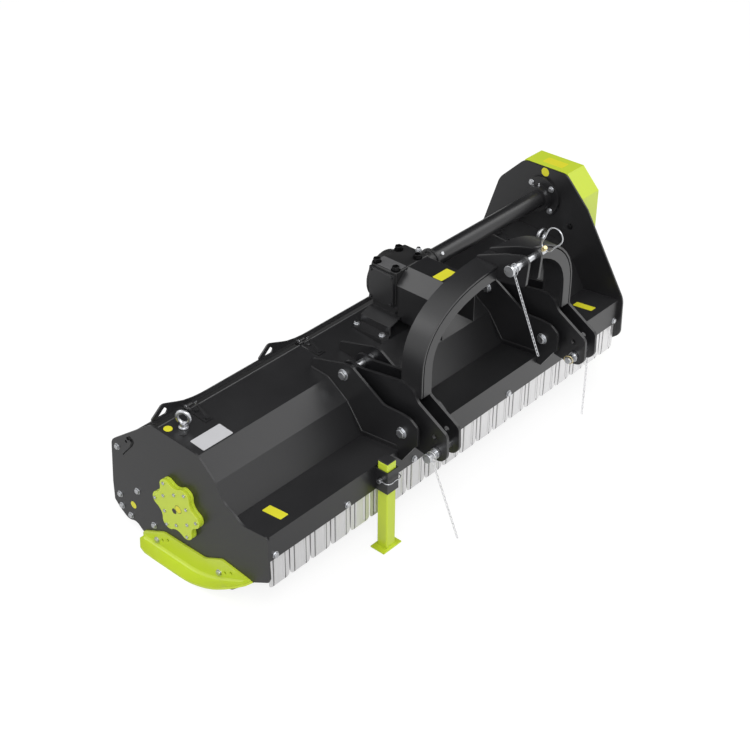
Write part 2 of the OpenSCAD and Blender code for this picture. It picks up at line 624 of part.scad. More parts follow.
lug_half = [[rotor_r - lug_sink, lug_stem / 2], [flail_pin_circle + lug_chamfer, lug_stem / 2],
    [flail_pin_circle + lug_end, lug_end / 2]];
lug_outline = concat([for (i = [2:-1:0]) lug_half[i]], [for (p = lug_half) [p[0], -p[1]]]);
module lug(x, row) translate([x, rotor_yz[0], rotor_yz[1]]) rotate([row_angle[row], 0, 0]) slab_x(0, lug_t)
    difference() {
        polygon(lug_outline);
        translate([flail_pin_circle, 0]) circle(r = flail_pin_r + run_c);
    }
module rotor() color(steel) {
    difference() {
        union() {
            rod_x(-rotor_half, rotor_half, rotor_yz, rotor_r);
            for (r = [0:3], i = [0:flails_per_row - 1], s = [-1, 1])
                lug(flail_x(r, i) + s * (flail_neck / 2 + 0.5 + lug_t / 2) - lug_t / 2, r);
        }
        rod_x(-rotor_half + 20, rotor_half - 20, rotor_yz, rotor_r - 8);
    }
    rod_x(-half_w - star_t + 10, -rotor_half, rotor_yz, shaft_r);
    rod_x(rotor_half, half_w + 20, rotor_yz, shaft_r);
    rod_x(half_w + 20, pulley_x + pulley_w + 6, rotor_yz, shaft_r - 3);
}
module flail_pins() color(zinc) for (r = [0:3], i = [0:flails_per_row - 1]) {
    x = flail_x(r, i) - flail_neck / 2 - lug_t - 0.5;
    rod_x(x - 6, x, pin_yz(r), 12);
    rod_x(x, x + flail_neck + 2 * lug_t + 7, pin_yz(r), flail_pin_r);
    rod_x(x + flail_neck + 2 * lug_t + 7, x + flail_neck + 2 * lug_t + 14, pin_yz(r), 11);
}

flail_t = 14;
module flail() {
    len = tip_r - flail_pin_circle;
    difference() {
        union() {
            translate([-flail_neck / 2, 0, 0]) rotate([0, 90, 0]) cylinder(r = 15, h = flail_neck);
            translate([-flail_neck / 2, -flail_t / 2, -44]) cube([flail_neck, flail_t, 44]);
            rotate([90, 0, 0]) translate([0, 0, -flail_t / 2]) linear_extrude(flail_t)
                polygon([[-flail_neck / 2, -36], [flail_neck / 2, -36], [flail_w / 2, -56],
                    [flail_w / 2, -len], [-flail_w / 2, -len], [-flail_w / 2, -56]]);
        }
        translate([-flail_neck, 0, 0]) rotate([0, 90, 0]) cylinder(r = flail_pin_r + 0.3, h = 2 * flail_neck);
    }
}
module flail_row(row) color(zinc) for (i = [0:flails_per_row - 1])
    translate([flail_x(row, i), pin_yz(row)[0], pin_yz(row)[1]]) flail();
module flails_a() flail_row(0);
module flails_b() flail_row(1);
module flails_c() flail_row(2);
module flails_d() flail_row(3);

/* Skids */
sole_line = [[657, 0], [400, 0], [370, 1.5], [340, 5.5], [300, 16], [262, 29.5], [225, 46], [83, 120]];
flange_top = [[657, 30], [539, 90], [322, 95], [232, 142], [96, 128], [88, 122]];
flange_outline = concat(flange_top, [for (i = [len(sole_line) - 2:-1:0]) sole_line[i] + [0, 4]]);
// The sole's outer edge, as y and the share of its full width
sole_edge = [[657, 0], [657, 0.39], [621, 0.84], [590, 0.98], [540, 1], [250, 1], [205, 0.97], [168, 0.87],
    [127, 0.66], [95, 0.36], [83, 0]];
module sole_trim() translate([0, 0, -20]) linear_extrude(220)
    polygon(concat([for (p = sole_edge) [-half_w - p[1] * sole_w, p[0]]],
        [for (p = [[0, 50], [200, 50], [200, 720], [0, 720]]) [-half_w - p[0], p[1]]]));
module skid() difference() {
    union() {
        slab_x(-half_w - skid_t, skid_t) polygon(flange_outline);
        difference() {
            slab_x(-half_w - sole_w, sole_w) polygon(sheet(sole_line, skid_t));
            sole_trim();
        }
    }
    holes_x(-half_w - skid_t, skid_t, skid_holes, plate_bolt_d / 2 + bolt_c);
}
module skids() color(lime) both() skid();

module side_bolts() color(zinc) both() {
    for (c = skid_bolt_yz) bolt_x(-half_w - skid_t, c, plate_bolt_d, skid_t + plate_t);
    for (c = bracket_bolts) bolt_x(-half_w, c, plate_bolt_d, plate_t + bracket_t);
    bolt_x(-half_w, pivot_yz, plate_bolt_d, plate_t + bracket_t);
    bolt_x(-half_w, skid_tie_yz, plate_bolt_d, plate_t);
    bolt_x(-half_w, stop_yz, plate_bolt_d, plate_t + 30);
    ring_x(-inner_w, -inner_w + 30, stop_yz, 14.5, plate_bolt_d / 2 + bolt_c);
    for (c = bearing_holes) bolt_x(-half_w, c, bearing_bolt_d, plate_t + bearing_t);
}

/* Rear roller */
roller_half = inner_w - 30;
axle_r = 15;
module roller_brackets() color(steel) both() difference() {
    union() {
        rod_x(-inner_w, -inner_w + bracket_t, roller_yz, 66);
        rod_x(-inner_w, -inner_w + bracket_t, pivot_yz, 26);
        slab_x(-inner_w, bracket_t) polygon([[680, 150], [648, 200], [700, 210], [760, 168]]);
        rod_x(-inner_w + bracket_t, -inner_w + 22, roller_yz, 30);
    }
    rod_x(-inner_w - 1, -inner_w + 30, roller_yz, axle_r + run_c);
    holes_x(-inner_w, bracket_t, concat(bracket_bolts, [pivot_yz]), plate_bolt_d / 2 + bolt_c);
}
module roller() color(steel) {
    difference() {
        rod_x(-roller_half, roller_half, roller_yz, roller_r);
        rod_x(-roller_half + 12, roller_half - 12, roller_yz, roller_r - 6);
    }
    both() rod_x(-inner_w + 1, -roller_half, roller_yz, axle_r);
}

/* Rear hood */
hood_t = 3;
hood_half = inner_w - 4;
module rear_hood() color(black) difference() {
    union() {
        difference() {
            slab_x(-hood_half, 2 * hood_half) polygon(sheet(hood_line, hood_t));
            for (x = hinge_x) translate([x - leaf_w / 2 - 4, 540, 536]) cube([leaf_w + 8, 35, 30]);
        }
        for (x = hinge_x) {
            rod_x(x + 0.3, x + leaf_w / 2, hood_yz, knuckle_r);
            slab_x(x + 0.3, leaf_w / 2 - 0.3)
                polygon([hood_yz + [0, 9], [574, 555], [576, 552], hood_yz + [8, 2]]);
        }
    }
    rod_x(-half_w, half_w, hood_yz, hinge_pin_r + run_c);
}
module hood_knob() color(lime) translate([-hood_half + 16, 0, 232]) rotate([-90, 0, 0]) {
    translate([0, 0, 794.9]) cylinder(r = 6, h = 8);
    translate([0, 0, 802]) cylinder(r = 15, h = 17);
}

/* Front flaps on their rod */
rod_r = 6;
flap_pitch = 2 * inner_w / flap_count;
flap_t = 3;
knuckle_w = flap_pitch / 2 - 18;
flap_knuckle_r = 10;
lip_bolt_d = 12;
lip_bolt_slot = [0, 7, 14, 25, 32, 39];
lip_bolt_x = [for (j = lip_bolt_slot) if (j < 2 * flap_count) -inner_w + flap_pitch * (0.25 + 0.5 * j)];
module flap_rod() color(zinc) rod_x(-inner_w + 0.2, inner_w - 0.2, flap_yz, rod_r);

// Right half of a flap's outline, from its bottom up, measured from the rod
flap_round = 14;
flap_side = concat(arc_pts([flap_w / 2 - flap_round, flap_round - flap_len], flap_round, 270, 360, 6),
    [[flap_w / 2, -20], [knuckle_w / 2, -14], [knuckle_w / 2, 0]]);
flap_outline = concat(flap_side, flip([for (i = [len(flap_side) - 1:-1:0]) flap_side[i]]));
module flap(x, back) difference() {
    union() {
        rod_x(x - knuckle_w / 2, x + knuckle_w / 2, flap_yz, flap_knuckle_r);
        translate([x, flap_yz[0] + (back ? flap_knuckle_r - flap_t : -flap_knuckle_r), flap_yz[1]])
            slab_y(0, flap_t) polygon(flap_outline);
    }
    rod_x(x - flap_w, x + flap_w, flap_yz, rod_r + 0.3);
}
module flap_section(s) color(zinc) {
    n = flap_count / 4;
    for (i = [s * n:(s + 1) * n - 1]) {
        flap(-inner_w + flap_pitch * (i + 0.5), false);
        if (i < (s + 1) * n - 1) flap(-inner_w + flap_pitch * (i + 1), true);
    }
}
module flaps_left() flap_section(0);
module flaps_mid_left() flap_section(1);
module flaps_mid_right() flap_section(2);
module flaps_right() flap_section(3);

// Each lip bolt ends in an eye that carries the rod
module lip_bolts() color(zinc) for (x = lip_bolt_x) translate([x, 0, flap_yz[1]]) {
    rotate([90, 0, 0]) cylinder(r = 11, h = 7, $fn = 6);
    rotate([-90, 0, 0]) cylinder(r = lip_bolt_d / 2, h = flap_yz[0] - 8);
    translate([-4, flap_yz[0], 0]) rotate([0, 90, 0]) difference() {
        cylinder(r = 10, h = 8);
        translate([0, 0, -1]) cylinder(r = rod_r + 0.05, h = 10);
    }
}

/* Lifting eyes */
eye_xy = [[-half_w + 58, 461], [half_w - 89, 358]];
eye_d = 14;
eye_r = 24;
eye_wire = 7;
eye_turn = [85, -3];
eye_rise = 45;
module eye_bolt(turn) {
    translate([0, 0, -sheet_t - 16]) cylinder(r = eye_d / 2, h = sheet_t + 24);
    translate([0, 0, -sheet_t - lift_c - 12]) cylinder(r = 13, h = 12, $fn = 6);
    translate([0, 0, lift_c]) cylinder(r = 18, h = 9);
    translate([0, 0, lift_c]) cylinder(r = 11, h = 18);
    translate([0, 0, eye_rise]) rotate([90, 0, turn]) rotate_extrude()
        translate([eye_r, 0]) circle(r = eye_wire, $fn = 16);
}
module eye_bolts() color(zinc) for (i = [0, 1]) on_roof(eye_xy[i][1]) translate([eye_xy[i][0], 0, 0])
    eye_bolt(eye_turn[i]);

/* Parking stand */
jack_xy = [-463, -30];
sleeve_wall = 5;
sleeve_s = jack_s + 2 * sleeve_wall + 1;
sleeve_z = [265, 359];
jack_pin_z = 318;
jack_pin_r = 6;
jack_top = 390;
foot_size = [98, 66, 6];
module square_tube(s, z0, z1, wall) difference() {
    translate([-s / 2, -s / 2, z0]) cube([s, s, z1 - z0]);
    translate([-s / 2 + wall, -s / 2 + wall, z0 - 1]) cube([s - 2 * wall, s - 2 * wall, z1 - z0 + 2]);
}
module jack_sleeve() color(black) translate([jack_xy[0], -sleeve_s / 2, 0]) difference() {
    square_tube(sleeve_s, sleeve_z[0], sleeve_z[1], sleeve_wall);
    rod_x(-60, 60, [0, jack_pin_z], jack_pin_r + run_c);
}
module jack_leg() translate([jack_xy[0], -sleeve_s / 2, 0]) {
    color(lime) difference() {
        square_tube(jack_s, foot_size[2], jack_top, 4);
        for (z = [jack_pin_z, jack_pin_z - jack_travel]) rod_x(-60, 60, [0, z], jack_pin_r + 0.5);
    }
    color(lime) translate([-foot_size[0] / 2, -foot_size[1] / 2, 0]) cube(foot_size);
    color(black) translate([-jack_s / 2, -jack_s / 2, jack_top]) cube([jack_s, jack_s, 5]);
}
wire_r = 2;
// The lock pin's two ends stop short of the leg, so that the leg can slide
module jack_pin() color(zinc) translate([jack_xy[0], -sleeve_s / 2, jack_pin_z]) {
    reach = sleeve_s / 2 + 10;
    tip = jack_s / 2 + 0.4;
    for (s = [-1, 1]) rod_x(s > 0 ? tip : -reach - 6, s > 0 ? reach : -tip, [0, 0], jack_pin_r);
    rod_x(-reach - 6, -sleeve_s / 2 - 0.4, [0, 0], 9);
    for (s = [-1, 1]) translate([s * (reach - 3), -reach, 0]) rotate([-90, 0, 0])
        cylinder(r = wire_r, h = reach);
    translate([-reach + 3, -reach, 0]) rotate([0, 90, 0]) cylinder(r = wire_r, h = 2 * reach - 6);
    for (s = [-1, 1]) translate([s * (reach - 3), -reach, 0]) sphere(r = wire_r);
}

/* Hitch pins and chains */
pin_head_x = hitch_x - 110;
pin_end_x = hitch_x + 86;
pin_hole_x = pin_end_x - 16;
lynch_r = 5;
module top_link_pin() color(zinc) difference() {
    union() {
        rod_x(pin_head_x, pin_end_x, top_pin_yz, top_pin_r);
        rod_x(pin_head_x - 8, pin_head_x + 4, top_pin_yz, 21);
        rod_x(pin_head_x + 28, pin_head_x + 40, top_pin_yz, 17);
    }
    at_lynch() translate([0, 0, -40]) cylinder(r = lynch_r + run_c, h = 80);
}
// The linchpin leans forward and its ring stands up in line with it, square to the link pin
lynch_lean = 33;
lynch_head = top_pin_r + 9;
ring_wire = 2.5;
ring_bend = 12;
ring_r = 32;
ring_leg = 73;
module at_lynch() translate([pin_hole_x, top_pin_yz[0], top_pin_yz[1]]) rotate([lynch_lean, 0, 0]) children();
module lynch_pin() color("gold") at_lynch() difference() {
    union() {
        translate([0, 0, -26]) cylinder(r = lynch_r, h = 26 + top_pin_r + 4);
        translate([0, 0, top_pin_r + 0.4]) cylinder(r = 9, h = 16);
    }
    translate([0, 20, lynch_head]) rotate([90, 0, 0]) cylinder(r = ring_wire + run_c, h = 40);
}
module ring_arc(r, y, z, from) translate([0, y, z]) rotate([90, 0, 90]) rotate([0, 0, from])
    rotate_extrude(angle = r == ring_r ? 180 : 90, $fn = 64) translate([r, 0]) circle(r = ring_wire, $fn = 24);
module lynch_ring() color("gold") at_lynch() translate([0, 0, lynch_head]) {
    foot = ring_r - ring_bend;
    translate([0, foot, 0]) rotate([90, 0, 0]) cylinder(r = ring_wire, h = 2 * foot, $fn = 24);
    for (s = [-1, 1]) translate([0, s * ring_r, ring_bend])
        cylinder(r = ring_wire, h = ring_leg - ring_bend, $fn = 24);
    ring_arc(ring_bend, foot, ring_bend, 270);
    ring_arc(ring_bend, -foot, ring_bend, 180);
    ring_arc(ring_r, 0, ring_leg, 0);
}

pin_left = clevis_gap / 2 + clevis_t + 50;
pin_right = clevis_gap / 2 + clevis_t + 34;
module lower_pin() {
    rod_x(-pin_left, pin_right, lower_pin_yz, lower_pin_r);
    rod_x(-pin_left - 6, -pin_left + 4, lower_pin_yz, 19);
    rod_x(-pin_left + 38, -pin_left + 49.5, lower_pin_yz, 20);
    rod_x(pin_right - 4, pin_right + 4, lower_pin_yz, 18);
}
module lower_pin_left() color(zinc) translate([hitch_x - hitch_pitch / 2, 0, 0]) lower_pin();
module lower_pin_right() color(zinc) translate([hitch_x + hitch_pitch / 2, 0, 0]) lower_pin();

// A chain: each link lies inside the next, and the first one holds a ring round its pin
wire = 1.5;
link_w = 3.6;
link_half = 8.6;
link_pitch = 2 * (link_half - wire) - gap_c;
module link() for (s = [-1, 1]) {
    translate([s * link_w, 0, link_w - link_half]) cylinder(r = wire, h = 2 * (link_half - link_w), $fn = 16);
    translate([0, 0, s * (link_half - link_w)]) rotate([90, 0, 0]) rotate([0, 0, s > 0 ? 0 : 180])
        rotate_extrude(angle = 180, $fn = 24) translate([link_w, 0]) circle(r = wire, $fn = 16);
}
module chain(links, lean, pin_r) rotate([lean, 0, 0]) {
    ring = pin_r + 6.5;
    drop = ring - wire - pin_r - gap_c;
    first = -drop - ring + wire + gap_c - link_half + wire;
    translate([0, 0, -drop]) rotate([90, 0, 90]) rotate_extrude($fn = 32)
        translate([ring, 0]) circle(r = wire, $fn = 16);
    for (i = [0:links - 1]) translate([0, 0, first - i * link_pitch]) rotate([0, 0, i % 2 * 90]) link();
}
chain_lean = -24;
chain_links = 22;
module chain_top() color(zinc) translate([pin_head_x + 16, top_pin_yz[0], top_pin_yz[1]])
    chain(chain_links, chain_lean, top_pin_r);
chain_x = [hitch_x - hitch_pitch / 2 - pin_left + 20, hitch_x + hitch_pitch / 2 + pin_right - 16];
module chain_left() color(zinc) translate([chain_x[0], lower_pin_yz[0], lower_pin_yz[1]])
    chain(chain_links, chain_lean, lower_pin_r);
module chain_right() color(zinc) translate([chain_x[1], lower_pin_yz[0], lower_pin_yz[1]])
    chain(chain_links, 0, lower_pin_r);

roof_sheet();
front_shelf();
side_plate_left();
side_plate_right();
rear_hooks();
hinge_leaves();
hitch_ribs();
clevis_plates();
arch_skin();
arch_webs();
top_link_ears();
hitch_bolts();
gearbox_case();
gearbox_cover();
gearbox_stand();
gearbox_bolts();
input_guard();
drive_tube();
tube_bolts();
belt_cover();
drive_bearings();
rotor_bearings();
bearing_cover();
skids();
side_bolts();
roller_brackets();
flap_rod();
lip_bolts();
eye_bolts();
jack_sleeve();
drive_belts();
idler_arm();
idler_pulley();
rotor();
flail_pins();
rotor_pulley();
flails_a();
flails_b();
flails_c();
flails_d();
cross_shaft();
drive_pulley();
input_shaft();
flaps_left();
flaps_mid_left();
flaps_mid_right();
flaps_right();
rear_hood();
hood_knob();
roller();
jack_leg();
jack_pin();
top_link_pin();
lynch_pin();
lynch_ring();
lower_pin_left();
lower_pin_right();
chain_top();
chain_left();
chain_right();
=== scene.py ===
"""Looks of a flail mower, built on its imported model.

Lengths are in metres. X runs across the machine, Y to the rear and Z up.
"""

import json
import logging
import math
from dataclasses import dataclass, field
from enum import Enum
from typing import Callable, Iterable, Sequence

import bpy
from mathutils import Matrix, Vector


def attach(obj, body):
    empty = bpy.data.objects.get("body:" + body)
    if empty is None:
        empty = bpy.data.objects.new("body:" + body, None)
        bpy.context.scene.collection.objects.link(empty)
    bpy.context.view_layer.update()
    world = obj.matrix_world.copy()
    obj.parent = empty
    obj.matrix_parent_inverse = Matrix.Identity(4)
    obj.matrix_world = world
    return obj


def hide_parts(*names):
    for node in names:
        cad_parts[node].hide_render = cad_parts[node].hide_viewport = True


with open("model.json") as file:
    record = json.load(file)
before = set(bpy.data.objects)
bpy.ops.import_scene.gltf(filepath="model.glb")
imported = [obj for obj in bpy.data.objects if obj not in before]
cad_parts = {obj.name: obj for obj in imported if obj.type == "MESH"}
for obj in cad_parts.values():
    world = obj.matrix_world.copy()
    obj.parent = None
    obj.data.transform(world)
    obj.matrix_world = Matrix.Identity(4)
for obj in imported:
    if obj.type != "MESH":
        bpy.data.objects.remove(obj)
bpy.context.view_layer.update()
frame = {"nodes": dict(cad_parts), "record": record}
LOG = logging.getLogger("flail_mower")

Rgb = tuple[float, float, float]
Point = tuple[float, float, float]
Span = tuple[float, float]
Pairs = tuple[Span, ...]
Socket = bpy.types.NodeSocket
Tree = bpy.types.NodeTree
Material = bpy.types.Material

MM = 0.001
HITCH_X = 121.0
HITCH_PITCH = 825.0
RIB_HALF = 80.0
ROOF_EDGE = (546.0, 544.0)
ROOF_SLOPE = 16.0 / 207.0


class Body(Enum):
    """The bodies that new pieces ride on."""

    FRAME = "frame"
    STAND_LEG = "stand_leg"
    STAND_PIN = "stand_pin"
    REAR_FLAP = "rear_flap"
    ROLLER = "rear_roller"
    TOP_PIN = "top_pin"
    SNAP_RING = "snap_ring"
    LOW_PIN_LEFT = "low_pin_left"
    LOW_PIN_RIGHT = "low_pin_right"
    FLAPS_1 = "flap_section_1"
    FLAPS_2 = "flap_section_2"
    FLAPS_3 = "flap_section_3"
    FLAPS_4 = "flap_section_4"


class Slot(Enum):
    """The record's material slots."""

    BLACK = "black_paint"
    LIME = "lime_paint"
    CAST = "cast_dark"
    BLACK_BOLT = "black_bolt"
    ZINC = "zinc"
    STEEL = "bare_steel"
    YELLOW_ZINC = "yellow_zinc"
    RUBBER = "belt_rubber"


def new_group(name: str, inputs: Sequence[tuple[str, str, object]],
              outputs: Sequence[tuple[str, str]]) -> Tree:
    """Makes an empty shader node group with named sockets.

    Args:
        name: the group's name.
        inputs: name, socket type and default value of each input.
        outputs: name and socket type of each output.

    Returns:
        The node group, with its Group Input and Group Output nodes added.
    """
    tree = bpy.data.node_groups.new(name, "ShaderNodeTree")
    for label, kind, default in inputs:
        socket = tree.interface.new_socket(name=label, in_out="INPUT", socket_type=kind)
        socket.default_value = default
    for label, kind in outputs:
        tree.interface.new_socket(name=label, in_out="OUTPUT", socket_type=kind)
    tree.nodes.new("NodeGroupInput").name = "In"
    tree.nodes.new("NodeGroupOutput").name = "Out"
    return tree


def mm(*values: float) -> Vector:
    """Gives a point or length in metres from millimetres."""
    return Vector(values) * MM


def roof_height(y: float) -> float:
    """Gives the height of the top panel's face in millimetres."""
    return ROOF_EDGE[1] + (y - ROOF_EDGE[0]) * ROOF_SLOPE


def add(tree: Tree, kind: str, operation: str = "", **values: float) -> bpy.types.Node:
    """Adds a node to a tree and sets it up.

    Args:
        tree: the node tree.
        kind: the node's type, without its common start.
        operation: its operation, where it has one.
        values: its sockets' values, with spaces written as underscores.

    Returns:
        The node.
    """
    node = tree.nodes.new(f"ShaderNode{kind}")
    if operation:
        node.operation = operation
    for label, value in values.items():
        node.inputs[label.replace("_", " ")].default_value = value
    return node


def work(tree: Tree, operation: str, first: Socket, second: "Socket | float" = 0.0) -> Socket:
    """Adds one step of arithmetic.

    Args:
        tree: the node tree.
        operation: the step's kind.
        first: the socket that it starts from.
        second: another socket or a number.

    Returns:
        The step's result.
    """
    node = add(tree, "Math", operation)
    tree.links.new(first, node.inputs[0])
    if isinstance(second, Socket):
        tree.links.new(second, node.inputs[1])
    else:
        node.inputs[1].default_value = second
    return node.outputs["Value"]


@dataclass
class EffectLibrary:
    """Shader effects that more than one finish uses, each built once."""

    groups: dict[str, Tree] = field(default_factory=dict)

    def peel(self) -> Tree:
        """The fine orange peel of sprayed paint, as a normal and a mask of soft blotches."""
        if "peel" in self.groups:
            return self.groups["peel"]
        tree = new_group("Paint peel",
                         [("Scale", "NodeSocketFloat", 400.0), ("Depth", "NodeSocketFloat", 0.1)],
                         [("Normal", "NodeSocketVector"), ("Blotch", "NodeSocketFloat")])
        nodes, links = tree.nodes, tree.links
        coords = add(tree, "TexCoord")
        fine = add(tree, "TexNoise", Detail=2.0)
        broad = add(tree, "TexNoise", Scale=3.5, Detail=5.0)
        bump = add(tree, "Bump", Distance=0.0004)
        links.new(coords.outputs["Object"], fine.inputs["Vector"])
        links.new(coords.outputs["Object"], broad.inputs["Vector"])
        links.new(nodes["In"].outputs["Scale"], fine.inputs["Scale"])
        links.new(nodes["In"].outputs["Depth"], bump.inputs["Strength"])
        links.new(fine.outputs["Fac"], bump.inputs["Height"])
        links.new(bump.outputs["Normal"], nodes["Out"].inputs["Normal"])
        links.new(broad.outputs["Fac"], nodes["Out"].inputs["Blotch"])
        self.groups["peel"] = tree
        return tree

    def dust(self) -> Tree:
        """A faint haze that lies on faces that look up."""
        if "dust" in self.groups:
            return self.groups["dust"]
        tree = new_group("Settled dust", [("Amount", "NodeSocketFloat", 0.1)], [("Mask", "NodeSocketFloat")])
        nodes, links = tree.nodes, tree.links
        geometry, split = add(tree, "NewGeometry"), add(tree, "SeparateXYZ")
        coords, cloud = add(tree, "TexCoord"), add(tree, "TexNoise", Scale=9.0, Detail=6.0)
        upward = add(tree, "MapRange", From_Min=0.3, From_Max=1.0)
        links.new(geometry.outputs["Normal"], split.inputs["Vector"])
        links.new(split.outputs["Z"], upward.inputs["Value"])
        links.new(coords.outputs["Object"], cloud.inputs["Vector"])
        product = work(tree, "MULTIPLY", upward.outputs["Result"], cloud.outputs["Fac"])
        scaled = work(tree, "MULTIPLY", product, nodes["In"].outputs["Amount"])
        links.new(scaled, nodes["Out"].inputs["Mask"])
        self.groups["dust"] = tree
        return tree

    def scratches(self) -> Tree:
        """Fine drawn lines and spangle, as on rolled or plated steel."""
        if "scratches" in self.groups:
            return self.groups["scratches"]
        tree = new_group("Rolled steel", [("Stretch", "NodeSocketVector", (1.0, 1.0, 1.0)),
                                          ("Scale", "NodeSocketFloat", 120.0)],
                         [("Line", "NodeSocketFloat"), ("Spangle", "NodeSocketFloat")])
        nodes, links = tree.nodes, tree.links
        coords, scale = add(tree, "TexCoord"), add(tree, "VectorMath", "MULTIPLY")
        line, spangle = add(tree, "TexNoise", Detail=4.0), add(tree, "TexVoronoi", Scale=70.0)
        links.new(coords.outputs["Object"], scale.inputs[0])
        links.new(nodes["In"].outputs["Stretch"], scale.inputs[1])
        links.new(scale.outputs["Vector"], line.inputs["Vector"])
        links.new(nodes["In"].outputs["Scale"], line.inputs["Scale"])
        links.new(coords.outputs["Object"], spangle.inputs["Vector"])
        links.new(line.outputs["Fac"], nodes["Out"].inputs["Line"])
        links.new(spangle.outputs["Distance"], nodes["Out"].inputs["Spangle"])
        self.groups["scratches"] = tree
        return tree


EFFECTS = EffectLibrary()


class Shader:
    """One material's node tree, with short calls to add and join nodes."""

    def __init__(self, name: str) -> None:
        """Starts a material with an empty Principled shader."""
        self.material = bpy.data.materials.new(name)
        self.material.use_nodes = True
        self.tree = self.material.node_tree
        self.principled = self.tree.nodes["Principled BSDF"]

    def plain(self, **values: object) -> None:
        """Sets sockets of the shader, with spaces written as underscores."""
        for label, value in values.items():
            self.principled.inputs[label.replace("_", " ")].default_value = value

    def group(self, tree: Tree, **values: object) -> bpy.types.Node:
        """Places a node group with its own values.

        Args:
            tree: the group.
            values: the group's inputs by name.

        Returns:
            The group node.
        """
        node = add(self.tree, "Group")
        node.node_tree = tree
        for label, value in values.items():
            node.inputs[label].default_value = value
        return node

    def link(self, source: Socket, label: str) -> None:
        """Joins an output to a socket of the shader."""
        self.tree.links.new(source, self.principled.inputs[label])

    def spread(self, source: Socket, low: float, high: float) -> Socket:
        """Maps a mask from 0 and 1 to low and high.

        Args:
            source: the mask.
            low: the value at 0.
            high: the value at 1.

        Returns:
            The mapped value.
        """
        node = add(self.tree, "MapRange", To_Min=low, To_Max=high)
        self.tree.links.new(source, node.inputs["Value"])
        return node.outputs["Result"]

    def mix(self, mask: Socket, first: object, second: object) -> Socket:
        """Blends two colours by a mask.

        Args:
            mask: 0 gives the first colour and 1 the second.
            first: a colour or a colour socket.
            second: a colour or a colour socket.

        Returns:
            The blended colour.
        """
        node = add(self.tree, "Mix")
        node.data_type = "RGBA"
        self.tree.links.new(mask, node.inputs["Factor"])
        for socket, value in ((node.inputs[6], first), (node.inputs[7], second)):
            if isinstance(value, Socket):
                self.tree.links.new(value, socket)
            else:
                socket.default_value = (*value, 1.0)
        return node.outputs[2]


@dataclass(frozen=True)
class PaintFinish:
    """Sprayed or powder coated paint."""

    name: str
    color: Rgb
    shade: Rgb
    rough: Span
    coat: float = 0.0
    dust: float = 0.05
    dust_color: Rgb = (0.3, 0.3, 0.3)
    depth: float = 0.12
    gloss: float = 0.5

    def build(self) -> Material:
        """Builds the material."""
        shader = Shader(self.name)
        peel = shader.group(EFFECTS.peel(), Scale=420.0, Depth=self.depth)
        haze = shader.group(EFFECTS.dust(), Amount=self.dust)
        paint = shader.mix(peel.outputs["Blotch"], self.color, self.shade)
        shader.link(shader.mix(haze.outputs["Mask"], paint, self.dust_color), "Base Color")
        shader.link(shader.spread(peel.outputs["Blotch"], *self.rough), "Roughness")
        shader.link(peel.outputs["Normal"], "Normal")
        shader.plain(Coat_Weight=self.coat, Coat_Roughness=0.12, Specular_IOR_Level=self.gloss)
        return shader.material


@dataclass(frozen=True)
class MetalFinish:
    """Bare or plated steel with drawn lines, and thin lines of painted shade beside pressed beads where beads
    are given.
    """

    name: str
    color: Rgb
    shade: Rgb
    rough: Span
    stretch: Rgb = (1.0, 1.0, 1.0)
    scale: float = 140.0
    metallic: float = 1.0
    # beads, bead_reach and the share of colour below place and darken thin lines of painted shade beside
    # pressed beads.
    beads: Point | None = None
    bead_reach: float = 0.022
    bead_painted_shade: float = 0.22

    def line(self, shader: Shader, place: float, reach: float) -> Socket:
        """Marks the thin upright lines of painted shade beside the pressed beads.

        Args:
            shader: the material's shader.
            place: where a line stands in each flap, 0 for its middle.
            reach: half of the line's width, as a share of the pitch.

        Returns:
            The mask.
        """
        tree = shader.tree
        coords, split = add(tree, "TexCoord"), add(tree, "SeparateXYZ")
        tree.links.new(coords.outputs["Object"], split.inputs["Vector"])
        start, pitch = self.beads[:2]
        last = work(tree, "DIVIDE", work(tree, "ADD", split.outputs["X"], start), pitch)
        last = work(tree, "ABSOLUTE", work(tree, "SUBTRACT", work(tree, "FRACT", last), 0.5))
        near = work(tree, "COMPARE", last, place)
        near.node.inputs[2].default_value = reach
        return near

    def build(self) -> Material:
        """Builds the material."""
        shader = Shader(self.name)
        steel = shader.group(EFFECTS.scratches(), Stretch=self.stretch, Scale=self.scale)
        base = shader.mix(steel.outputs["Line"], self.color, self.shade)
        if self.beads:
            # Painted shade: thin lines beside the pressed beads are darkened to a share of the base colour.
            painted_shade_line = self.line(shader, self.beads[2], self.bead_reach)
            base = shader.mix(painted_shade_line, base, tuple(self.bead_painted_shade * v for v in self.color))
        shader.link(base, "Base Color")
        shader.link(shader.spread(steel.outputs["Spangle"], *self.rough), "Roughness")
        bump = add(shader.tree, "Bump", Strength=0.12, Distance=0.0003)
        shader.tree.links.new(steel.outputs["Line"], bump.inputs["Height"])
        shader.link(bump.outputs["Normal"], "Normal")
        shader.plain(Metallic=self.metallic)
        return shader.material


@dataclass(frozen=True)
class CastFinish:
    """Painted sand casting with a coarse skin."""

    name: str
    color: Rgb
    shade: Rgb
    rough: Span
    grain: float = 260.0

    def build(self) -> Material:
        """Builds the material."""
        shader = Shader(self.name)
        skin = shader.group(EFFECTS.peel(), Scale=self.grain, Depth=0.6)
        haze = shader.group(EFFECTS.dust(), Amount=0.12)
        base = shader.mix(skin.outputs["Blotch"], self.color, self.shade)
        shader.link(shader.mix(haze.outputs["Mask"], base, (0.2, 0.2, 0.2)), "Base Color")
        shader.link(shader.spread(skin.outputs["Blotch"], *self.rough), "Roughness")
        shader.link(skin.outputs["Normal"], "Normal")
        return shader.material


